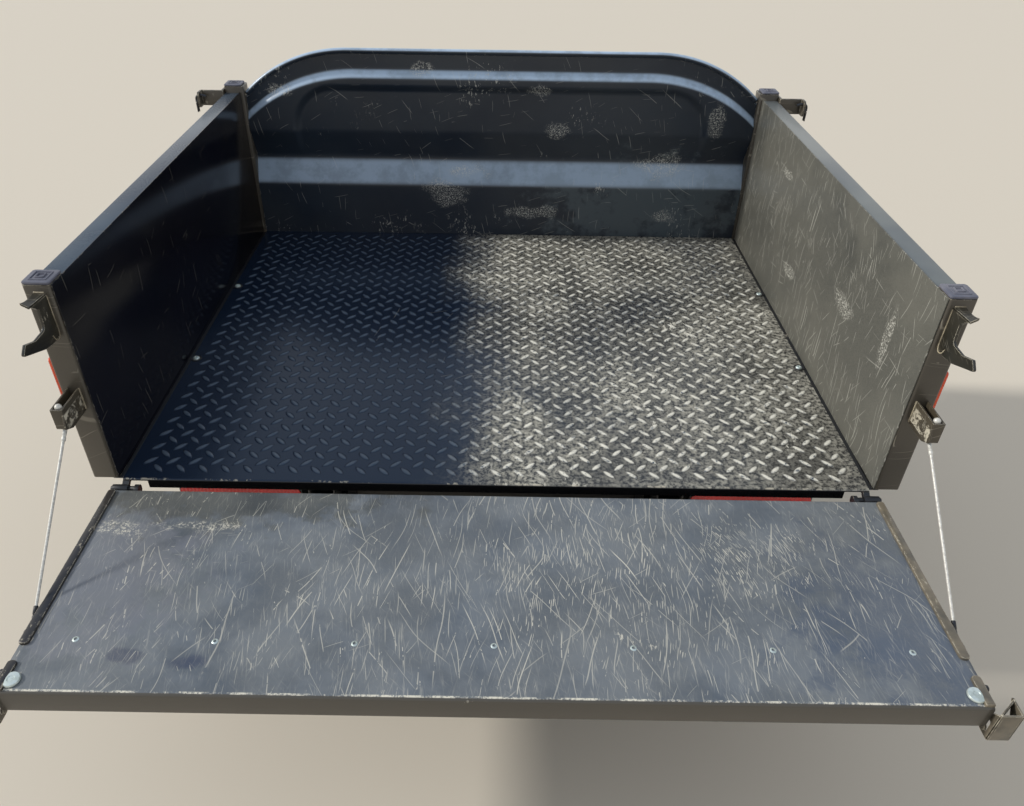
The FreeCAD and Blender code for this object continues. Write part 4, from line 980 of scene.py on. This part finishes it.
def makeCatches():
    # behind each rear post: a hook plate with a roof, and below it the stay's pocket
    hook = {"x": 692.0, "thick": 5.0, "roofOut": 20.0, "roofThick": 4.0, "curl": 7.0, "narrow": 0.42,
            "roofEnd": -48.0, "roofLow": 370.0, "roofRise": 4.0, "rows": 16}
    x0, x1 = hook["x"], hook["x"] + hook["thick"]
    post = postLow[1]

    def at(y, z, radius=0):
        # a corner placed from the floor's rear edge
        return (tailY + y, floorZ + z, radius)

    outline = roundOutline([(post, floorZ + 300, 0), (post, floorZ + 374, 0), at(-48, 378, 1.5),
                            at(-26, 361, 3), at(-28, 328, 8), at(-60, 327, 12), at(-86, 336, 3),
                            at(-99, 323, 3), at(-44, 302, 14), at(-20, 298, 10)], 7)
    web = plateShell(outline, x0, x1, "yz", 0.8)
    # roof: a rounded strip carried back from the post, that rises and curls up outwards
    ring = rectangle(0, hook["roofOut"], 0, hook["roofThick"], 1.5)
    t = np.linspace(0, 1, hook["rows"])[:, None]
    roof = np.zeros((hook["rows"], len(ring), 3))
    roof[..., 0] = x0 + ring[:, 0] * (1 - hook["narrow"] * t)
    roof[..., 1] = post + (tailY + hook["roofEnd"] - post) * t
    roof[..., 2] = (floorZ + hook["roofLow"] + hook["roofRise"] * t + ring[:, 1]
                    + hook["curl"] * t ** 3 * (ring[:, 0] / hook["roofOut"]) ** 2)
    inside = [(0.3, 370), (0.5, 340), (0.5, 308), (5, 298), (14, 300), (20, 310)]
    beads = [weldBead([(x0 - 0.1, post - y, floorZ + z) for y, z in inside], 0.9, 70),
             weldBead([(x1 + 0.8, post - 0.8, floorZ + 366), (x1 + 0.8, post - 1, floorZ + 306)], 1.6, 30),
             weldBead([(x0 + 2, post - 0.5, floorZ + 375), (x0 + 18, post - 0.5, floorZ + 375)], 1.4, 12)]
    # open-topped pocket for the stay, with a lobed plate and a bolt on its inner side
    pocket = {"x": 694.0, "out": 20.0, "wall": 3.0, "reach": 60.0, "low": 159.0, "high": 197.0,
              "boltBack": 36.0, "boltUp": 176.0}
    p0, p1, w = pocket["x"], pocket["x"] + pocket["out"], pocket["wall"]
    y0 = tailY - pocket["reach"]
    zl, zh = floorZ + pocket["low"], floorZ + pocket["high"]
    walls = [plateShell(rectangle(*box), zl, zh, "xy") for box in (
        (p0, p0 + w, y0 + 0.3, post, 1.2), (p1 - w, p1, y0 + 0.3, post, 1.2), (p0, p1, y0, y0 + w, 1.4))]
    lobe = roundOutline([(post, zl - 7, 0), (y0 + 14, zl - 7, 10), (y0 - 7, zl + 4, 4), (y0, zh - 10, 0),
                         (post, zh - 10, 0)], 7)
    walls.append(plateShell(lobe, p0 - 0.05, p0 + w - 0.1, "yz", 0.7))
    dome = latheShell([(0, 0), (10.5, 0), (10.5, 1.2), (10, 1.6), (8.2, 1.6), (7.8, 2.4), (6.2, 2.9),
                       (5.6, 2.5), (4.6, 2.5), (4.2, 3.0), (2.4, 3.0), (2.0, 2.5), (0, 2.5)],
                      (p0 + 0.4, tailY - pocket["boltBack"], floorZ + pocket["boltUp"]), (-1, 0, 0), 32)
    beads.append(weldBead([(p0 - 0.6, post - 0.8, zl - 4), (p0 - 0.6, post - 0.9, zl + 20),
                           (p0 - 0.6, post - 0.8, zh)], 1.3, 24))
    makePair("gateCatch", joinShells([web, tubeShell(roof)]), steel["catchPaint"], "gate_catch_")
    makePair("stayBracket", joinShells(walls), steel["bracketPaint"], "stay_bracket_")
    makePair("bracketBolt", dome, steel["bracketPaint"])
    makePair("catchWeld", joinShells(beads), steel["weldPaintAndHighlight"])
    print("catches and stay brackets")


makeCatches()


def makeSideLatches():
    # at each front corner a bent plate with a drop pin, and at each rear post a reflector
    latch = {"out": 60.0, "high": 38.0, "thick": 5.0, "back": 14.0, "below": 28.0, "tab": 24.0, "foot": 22.0,
             "pin": 3.4, "pinAhead": -14.0}
    x0, x1 = railHigh[0], railHigh[0] + latch["out"]
    y0, z0 = frontY - latch["back"], railHigh[2] - latch["below"]
    z1, t = z0 + latch["high"], latch["thick"]
    y1, y2 = y0 - latch["tab"], frontY + latch["foot"]
    tab = roundOutline([(y1, z0, 5), (y0 + 1, z0, 0), (y0 + 1, z1, 0), (y1, z1, 8)])
    metal = joinShells([plateShell(rectangle(x0, x1, z0, z1, 4), y0, y0 + t, "xz", 0.7),
                        plateShell(tab, x1 - t, x1, "yz", 0.7),
                        plateShell(rectangle(y0 + 2, y2, z0, z1, 3), x0, x0 + t, "yz", 0.7)])
    # drop pin: bent over the tab, through a round boss and down
    pinY = y0 + latch["pinAhead"]
    boss = latheShell([(0, 0), (6, 0), (6, 6), (5, 7), (0, 7)], (x0 + 59, pinY, z0 + 14), (1, 0, 0))
    knots = [(40, 26), (52, 29), (62, 27), (66, 18), (66, -10), (66, -62)]
    pin = pathShell(smoothPath([(x0 + x, pinY, z0 + z) for x, z in knots], 44), latch["pin"], 12,
                    lambda turn, way: 1.0)
    makePair("sideLatch", metal, steel["postPaint"], "side_latches")
    makePair("dropPin", joinShells([boss, pin]), steel["framePaint"])
    reflector = {"thick": 6.0, "ahead": 8.0, "wide": 34.0, "up": 175.0, "tall": 75.0}
    x, y, z = nodeBox("side_reflectors")[1][0], tailY + reflector["ahead"], floorZ + reflector["up"]
    outline = rectangle(y, y + reflector["wide"], z, z + reflector["tall"], 5)
    lens = plateShell(outline, x - reflector["thick"], x, "yz", 1.6)
    makePiece("sideReflectors", bothSides(lens), amberLens, ["side_reflectors"])
    print("side latches and reflectors")


makeSideLatches()


def makeGate():
    # the tailgate drawn level: a folded sheet, side channels, lips, studs and fasteners
    skin = {"sheet": 2.0, "fold": 3.0, "hingeFold": 7.0, "under": 28.0, "lipWide": 14.0, "lipHigh": 7.0,
            "lipRound": 2.4, "lipStart": 3.0, "lipEnd": 330.0, "lipAgain": 357.0, "bulge": 1.4, "side": 30.0}
    half, top = gate["halfWidth"], gate["topZ"]
    endY, edgeY, low = gate["endY"], gate["edgeY"], gate["topZ"] - gate["thick"]
    fold, bulge = skin["fold"], skin["bulge"]
    arc = np.linspace(0, math.pi / 2, 6)
    # profile of the folded sheet in (y, z), from the hinge edge over the top to the rear face
    hingeFold = np.column_stack([edgeY - fold + fold * np.cos(arc), top - fold + fold * np.sin(arc)])
    rearFold = np.column_stack([endY + fold - fold * np.sin(arc), top - fold + fold * np.cos(arc)])
    lowFold = np.column_stack([endY + fold - fold * np.cos(arc), low + fold - fold * np.sin(arc)])
    flat = np.linspace(edgeY - fold, endY + fold, 60)[1:-1]
    profile = np.vstack([[(edgeY, top - skin["hingeFold"])], hingeFold,
                         np.column_stack([flat, np.full(len(flat), top)]), rearFold, lowFold,
                         [(endY + skin["under"], low)]])
    across = np.linspace(-half + 0.6, half - 0.6, 150)
    sheet = np.zeros((len(across), len(profile), 3))
    sheet[..., 0] = across[:, None]
    sheet[..., 1:] = profile
    makePiece("gateSkin", onGate(gridShell(sheet)), steel["gatePaintAndLight"], ["gate_inner_skin", "gate_top_rail"],
              "tailgate", sharp=60, thick=skin["sheet"])

    # side channels under the sheet's ends, and the hollow lips along the ends of the sheet
    x0, x1 = half - skin["side"], half
    channel = plateShell(rectangle(x0, x1 - 0.6, low + 0.5, top - skin["sheet"] - 0.2, 3), endY + 6,
                         edgeY - 2, "xz")
    cheek = plateShell(rectangle(endY + 0.6, edgeY - 1, low + 0.3, top, 2), x1 - 3, x1 - 0.15, "yz", 0.5)

    def lip(plan):
        # a flat plan raised from the sheet, with round edges
        return plateShell(roundOutline(plan, 6), top - 1.5, top + skin["lipHigh"], "xy", skin["lipRound"])

    inner = x1 - skin["lipWide"]
    y1, y2, y3 = (edgeY - skin[key] for key in ("lipStart", "lipEnd", "lipAgain"))
    long = lip([(inner, y1, 5), (x1, y1, 5), (x1, y2 + 80, 40), (x1 + bulge, y2 + 60, 40),
                (x1 + bulge, y2, 6), (inner, y2, 6)])
    short = lip([(inner, y3, 6), (x1, y3, 6), (x1, endY + 1, 2), (inner, endY + 1, 2)])
    stud = latheShell([(0, -0.5), (13, -0.5), (13, 1.6), (12.6, 2), (5, 2.2), (5, 11.5), (8.4, 11.5),
                       (9, 12.2), (9, 14.6), (8.2, 15.5), (0, 15.5)], (x1, gate["studY"], gate["studZ"]),
                      (1, 0, 0), 32)
    makePair("gateSide", onGate(joinShells([channel, cheek])), steel["lipPaintAndShade"], "gate_side_channel_",
             "tailgate")
    makePair("gateLips", onGate(joinShells([long, short])), steel["lipPaintAndShade"], "", "tailgate")
    makePair("gateStud", onGate(stud), darkMetal, "gate_stud_", "tailgate")

    # seven small pan heads in a row, and the two big plated heads at the corners
    screw = {"row": 318.0, "pitch": 203.8, "knobRow": 388.0, "knobX": 670.0, "sunk": 0.1}
    heads = [latheShell([(0, 0), (6.2, 0), (6.2, 0.7), (5.4, 1.0), (4.9, 2.4), (3.4, 3.2), (2.6, 3.4),
                         (2.3, 2.0), (0, 2.0)],
                        (k * screw["pitch"], edgeY - screw["row"], top - screw["sunk"]), (0, 0, 1), 22)
             for k in range(-3, 4)]
    makePiece("gateScrews", onGate(joinShells(heads)), zincMetal, (), "tailgate")
    knob = latheShell([(0, 0), (8, 0), (8, 2.2), (11.6, 2.4), (12.5, 3.4), (12.5, 5.0), (11.4, 6.4), (7, 7),
                       (5.2, 7), (4.6, 6.3), (2.6, 6.3), (0, 6.6)],
                      (screw["knobX"], edgeY - screw["knobRow"], top - screw["sunk"]), (0, 0, 1), 40)
    makePiece("gateKnobs", bothSides(onGate(knob)), zincMetal, (), "tailgate")
    print("tailgate skin, sides and fasteners")


makeGate()


def makeGateLatches():
    # at each rear corner of the tailgate a lever, and a bolt that stands out of its side
    lever = {"x": 692.0, "wide": 32.0, "back": 12.0, "reach": 20.0, "high": 58.0, "thick": 3.0,
             "boltIn": 27.0, "boltY": 51.0, "boltDown": 25.0}
    x0, x1, t = lever["x"], lever["x"] + lever["wide"], lever["thick"]
    y0, y1 = gate["endY"] - lever["back"], gate["endY"] + lever["reach"]
    z0, z1 = gate["topZ"] - lever["high"], gate["topZ"]
    # a triangular pocket of sheet: slotted inner plate, rear web, outer flange and the wall between
    plan = roundOutline([(y0, z0, 2), (y0, z1, 3), (y1 - 8, z1 - 24, 4), (y1 - 8, z0, 6)], 8)
    slot = rectangle(y0 + 9, y0 + 16, z0 + 8, z0 + 30, 3.4, 8)
    inner = holedPlateShell(plan, slot, x0, x0 + t, "yz")
    web = plateShell(rectangle(x0, x1, z0, z1, 1.5), y0, y0 + t, "xz", 0.7)
    outer = plateShell(roundOutline([(y0, z0, 2), (y0, z1, 1), (y1, z1, 2)], 6), x1 - t, x1, "yz", 0.7)
    wall = plateShell(roundOutline([(x0 + 1, y0 + 4, 0), (x1 - 1, y1 - 4, 0), (x1 - 1, y1 - 7, 0),
                                    (x0 + 1, y0 + 1, 0)]), z1 - 29, z1 - 0.5, "xy", 0.5)
    seat = rodShell((gate["halfWidth"], gate["endY"] + 4, z0 + 12), (x0 + 1, gate["endY"] + 4, z0 + 12), 6)
    bolt = latheShell([(0, 0), (6, 0), (6, 48), (5.2, 51.5), (3, 53), (0, 53)],
                      (gate["halfWidth"] - lever["boltIn"], gate["endY"] + lever["boltY"],
                       gate["hingeZ"] - lever["boltDown"]), (1, 0, 0))
    makePair("latchLever", onGate(joinShells([inner, web, outer, wall, seat])), steel["leverPaint"],
             "latch_lever_", "tailgate")
    makePair("latchBolt", onGate(bolt), steel["framePaint"], "latch_bolt_", "tailgate")
    print("latch levers and bolts")


makeGateLatches()


def makeStays():
    # fittings ride on their own body; the cable between them is baked in place on no body
    stay = {"x": 704.0, "eyeX": 696.0, "radius": 2.4, "strands": 6, "lay": 0.11, "ball": 6.0, "shank": 3.4,
            "ballAt": (-50.0, 196.0), "bendAt": (-52.0, 156.0)}
    ball, bend = (np.array([stay["x"], tailY + y, floorZ + z]) for y, z in (stay["ballAt"], stay["bendAt"]))
    stud = letDown(np.array([stay["eyeX"], gate["studY"], gate["studZ"]]))
    run = np.linalg.norm(stud - bend)
    down = (stud - bend) / run
    angle = np.linspace(-math.pi / 2, math.pi / 2, 9)
    top = [latheShell(np.column_stack([np.cos(angle), np.sin(angle)]) * stay["ball"], ball, (0, 0, 1)),
           rodShell(ball, bend, stay["shank"]),
           latheShell([(0, -3.5), (2.5, -2.8), (3.5, 0), (3.5, 12), (2.9, 13), (2.9, 15), (3.5, 16),
                       (3.5, 22), (2.7, 23), (0, 23)], bend, down)]
    low = [latheShell([(0, 0), (2.6, 0), (3.5, 1.2), (3.5, 12), (3, 13), (3, 15), (3.5, 16), (3.5, 34),
                       (0, 34)], stud - down * 42, down),
           latheShell([(5.06, -3.5), (9.2, -3.5), (10, -2.7), (10, 2.7), (9.2, 3.5), (5.06, 3.5),
                       (5.06, -3.5)], stud, (1, 0, 0))]
    path = bend + down * np.linspace(8, run - 14, 190)[:, None]

    def twist(turn, way):
        # the strands stand out as ridges that wind round the cable
        return 0.95 + 0.05 * np.abs(np.cos(stay["strands"] / 2 * (turn - stay["lay"] * way)))

    cable = pathShell(path, stay["radius"], 24, twist)
    makePair("stayTop", joinShells(top), cableMetal)
    makePair("stayEye", joinShells(low), darkMetal, "", "tailgate")
    for piece, side in zip(makePair("stayCable", cable, cableMetal, "stay_", None), (1, -1)):
        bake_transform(piece)
    print("stays")


makeStays()


def makeLamps():
    # on each side a housing with round upper corners, a brow across it, and its lens
    lamp = {"inner": 376.0, "round": 16.0, "browHigh": 10.0, "browOut": 2.4, "lensRound": 12.0}
    low, high = nodeBox("tail_lamps")
    lensLow, lensHigh = nodeBox("tail_lenses")
    inner, outer, top = lamp["inner"], high[0], high[2]
    body = plateShell(roundOutline([(inner, low[2], 3), (outer, low[2], 3), (outer, top, lamp["round"]),
                                    (inner, top, lamp["round"])], 7), low[1], high[1], "xz", 3.0)
    brow = plateShell(rectangle(inner + 2, outer - 2, top - 6 - lamp["browHigh"], top - 6, 4),
                      low[1] - lamp["browOut"], low[1] + 2, "xz", 1)
    lens = plateShell(rectangle(inner + 3, outer - 3, lensLow[2], top - 17, lamp["lensRound"], 7), lensLow[1],
                      lensHigh[1] + 0.5, "xz", 1.2)
    makePiece("lampHousings", bothSides(body, brow), lampPlastic, ["tail_lamps"], "frame")
    makePiece("lampLenses", bothSides(lens), redLens, ["tail_lenses"], "frame")
    print("tail lamps")


makeLamps()


def makeLift():
    # the barrel with the lower eye, and the rod with the upper eye and its pin, all turned shapes
    lift = {"base": (0, -230.0, 24.0), "eye": (0, -10.0, 133.0), "stop": 56.0}
    base, eyePlace = np.array(lift["base"]), np.array(lift["eye"])
    way = eyePlace - base
    length = np.linalg.norm(way)
    end = length - lift["stop"]
    barrel = latheShell([(0, 10), (12, 10), (12, 22), (23, 23), (25, 26), (25, end - 22), (24, end - 21),
                         (24, end - 17), (25, end - 16), (25, end - 2), (23, end), (13.5, end),
                         (13.5, end - 4), (0, end - 4)], base, way, 40)
    eye = latheShell([(8.2, -14), (17, -14), (18, -13), (18, 13), (17, 14), (8.2, 14), (8.2, -14)], base,
                     (1, 0, 0), 36)
    rod = latheShell([(0, 45), (12.3, 45), (12.4, 46), (12.4, length - 12), (0, length - 12)], base, way, 36)
    top = latheShell([(0, -18.5), (8, -18.5), (8, -14), (17, -14), (18, -13), (18, 13), (17, 14), (8, 14),
                      (8, 18.5), (0, 18.5)], eyePlace, (1, 0, 0), 36)
    makePiece("liftBarrel", joinShells([barrel, eye]), steel["framePaint"], ["lift_barrel"], "cylinder")
    makePiece("liftRod", joinShells([rod, top]), chromeMetal, ["lift_rod"], "rod")
    print("lift cylinder")


makeLift()


def finishNode(node, material, width):
    # a CAD node that stays: the right finish, and a small round on its edges
    node.data.materials.clear()
    node.data.materials.append(material)
    weld = node.modifiers.new("joinTriangles", "WELD")
    weld.merge_threshold = 0.01 * mm
    bevel = node.modifiers.new("softEdge", "BEVEL")
    bevel.width = width * mm
    bevel.segments = 2
    bevel.limit_method = "ANGLE"
    bevel.angle_limit = math.radians(35)
    bevel.use_clamp_overlap = True


kept = {"framePaint": ("frame_rail_", "pivot_bracket_", "rear_crossmember", "middle_crossmember",
                       "front_crossmember", "cross_ribs", "under_rail_", "side_sill_", "lift_bracket",
                       "gate_hinges", "gate_bottom_rail"), "outerPaint": ("gate_outer_skin",)}
for finish, starts in kept.items():
    for name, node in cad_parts.items():
        if name.startswith(starts) and not node.hide_render:
            finishNode(node, steel[finish], 0.8)
finishNode(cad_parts["rest_pads"], padRubber, 2.5)
print("kept nodes:", [name for name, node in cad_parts.items() if not node.hide_render])


def makeStage():
    # a pale floor, two blocks, light from all round and a sun
    stage = {"drop": 300.0, "half": 30000.0, "color": (222, 214, 200)}
    blocks = {"places": (-390, 300), "wide": 90.0, "from": -350.0, "to": 540.0}
    material, shader = startMaterial("paleFloor", stage["color"])[:2]
    feed(shader.inputs["Base Color"], stage["color"])
    shader.inputs["Roughness"].default_value = 0.9
    s = stage["half"]
    corners = np.array([(x, y, -stage["drop"]) for x, y in ((-s, -s), (s, -s), (s, s), (-s, s))])
    ground = addMesh("studioFloor", (corners, [(0, 1, 2, 3)]), material)
    # two plain blocks that the subframe's feet stand on
    feet = [plateShell(rectangle(x, x + blocks["wide"], blocks["from"], blocks["to"], 4),
                       -stage["drop"], -0.3, "xy", 2) for x in blocks["places"]]
    blocksPiece = addMesh("studioBlocks", joinShells(feet), material)

    # the world lights softly from all round; seen or mirrored it is pale near the ground and bluer above
    world = bpy.data.worlds.new("studio")
    scene.world = world
    world.use_nodes = True
    tree = world.node_tree
    tree.nodes.clear()
    ray = addNode("LightPath", tree=tree).outputs
    seen = calc("MAXIMUM", ray["Is Camera Ray"],
                calc("MAXIMUM", ray["Is Glossy Ray"], ray["Is Transmission Ray"]))
    up = splitVector(addNode("TexCoord", tree=tree).outputs["Generated"])[2]
    sky = blendColor(ramp(up, 0.3, 0.85), (0.76, 0.77, 0.78, 1), (0.4, 0.54, 0.76, 1))
    soft = addNode("Background", {"Color": (0.93, 0.96, 1.0, 1), "Strength": 0.56}, tree).outputs[0]
    pale = addNode("Background", {"Color": sky, "Strength": 1.0}).outputs[0]
    mix = addNode("MixShader", {0: seen, 1: soft, 2: pale}).outputs[0]
    addNode("OutputWorld", {0: mix})

    # a wide, soft sun from the left, as in the photograph
    key = {"from": (-1.0, 0.05, 0.64), "wide": 0.1, "strength": 2.3, "tint": (1.0, 0.96, 0.89)}
    lamp = bpy.data.lights.new("key", "SUN")
    lamp.angle = key["wide"]
    lamp.energy = key["strength"]
    lamp.color = key["tint"]
    body = bpy.data.objects.new("key", lamp)
    scene.collection.objects.link(body)
    axis, side, third = basisOf(key["from"])
    body.matrix_world = Matrix([*zip(side, third, axis, (0, 0, 2)), (0, 0, 0, 1)])


makeStage()


def makeCamera():
    # the viewpoint of the photograph, as solved from the bed's corners and fasteners; angles in radians
    view = {"place": (-4.2, -1545.3, 1179.3), "down": 0.63020, "turn": -0.0015, "roll": 0.0149,
            "focal": 793.52, "centre": (494.0, 401.83), "image": (1024, 806), "sensor": 36.0}
    a, b, c = view["down"], view["turn"], view["roll"]
    ahead = np.array([math.sin(b) * math.cos(a), math.cos(b) * math.cos(a), -math.sin(a)])
    level = np.array([math.cos(b), -math.sin(b), 0])
    rise = np.cross(level, ahead)
    right = math.cos(c) * level + math.sin(c) * rise
    up = -math.sin(c) * level + math.cos(c) * rise
    wide, tall = view["image"]
    lens = bpy.data.cameras.new("viewpoint")
    lens.sensor_width = view["sensor"]
    lens.lens = view["sensor"] * view["focal"] / wide
    lens.shift_x = (wide / 2 - view["centre"][0]) / wide
    lens.shift_y = (view["centre"][1] - tall / 2) / wide
    lens.clip_start, lens.clip_end = 0.05, 60
    camera = bpy.data.objects.new("viewpoint", lens)
    scene.collection.objects.link(camera)
    camera.matrix_world = Matrix([*zip(right, up, -ahead, np.array(view["place"]) * mm), (0, 0, 0, 1)])
    scene.camera = camera


makeCamera()
scene.view_settings.view_transform = "Standard"
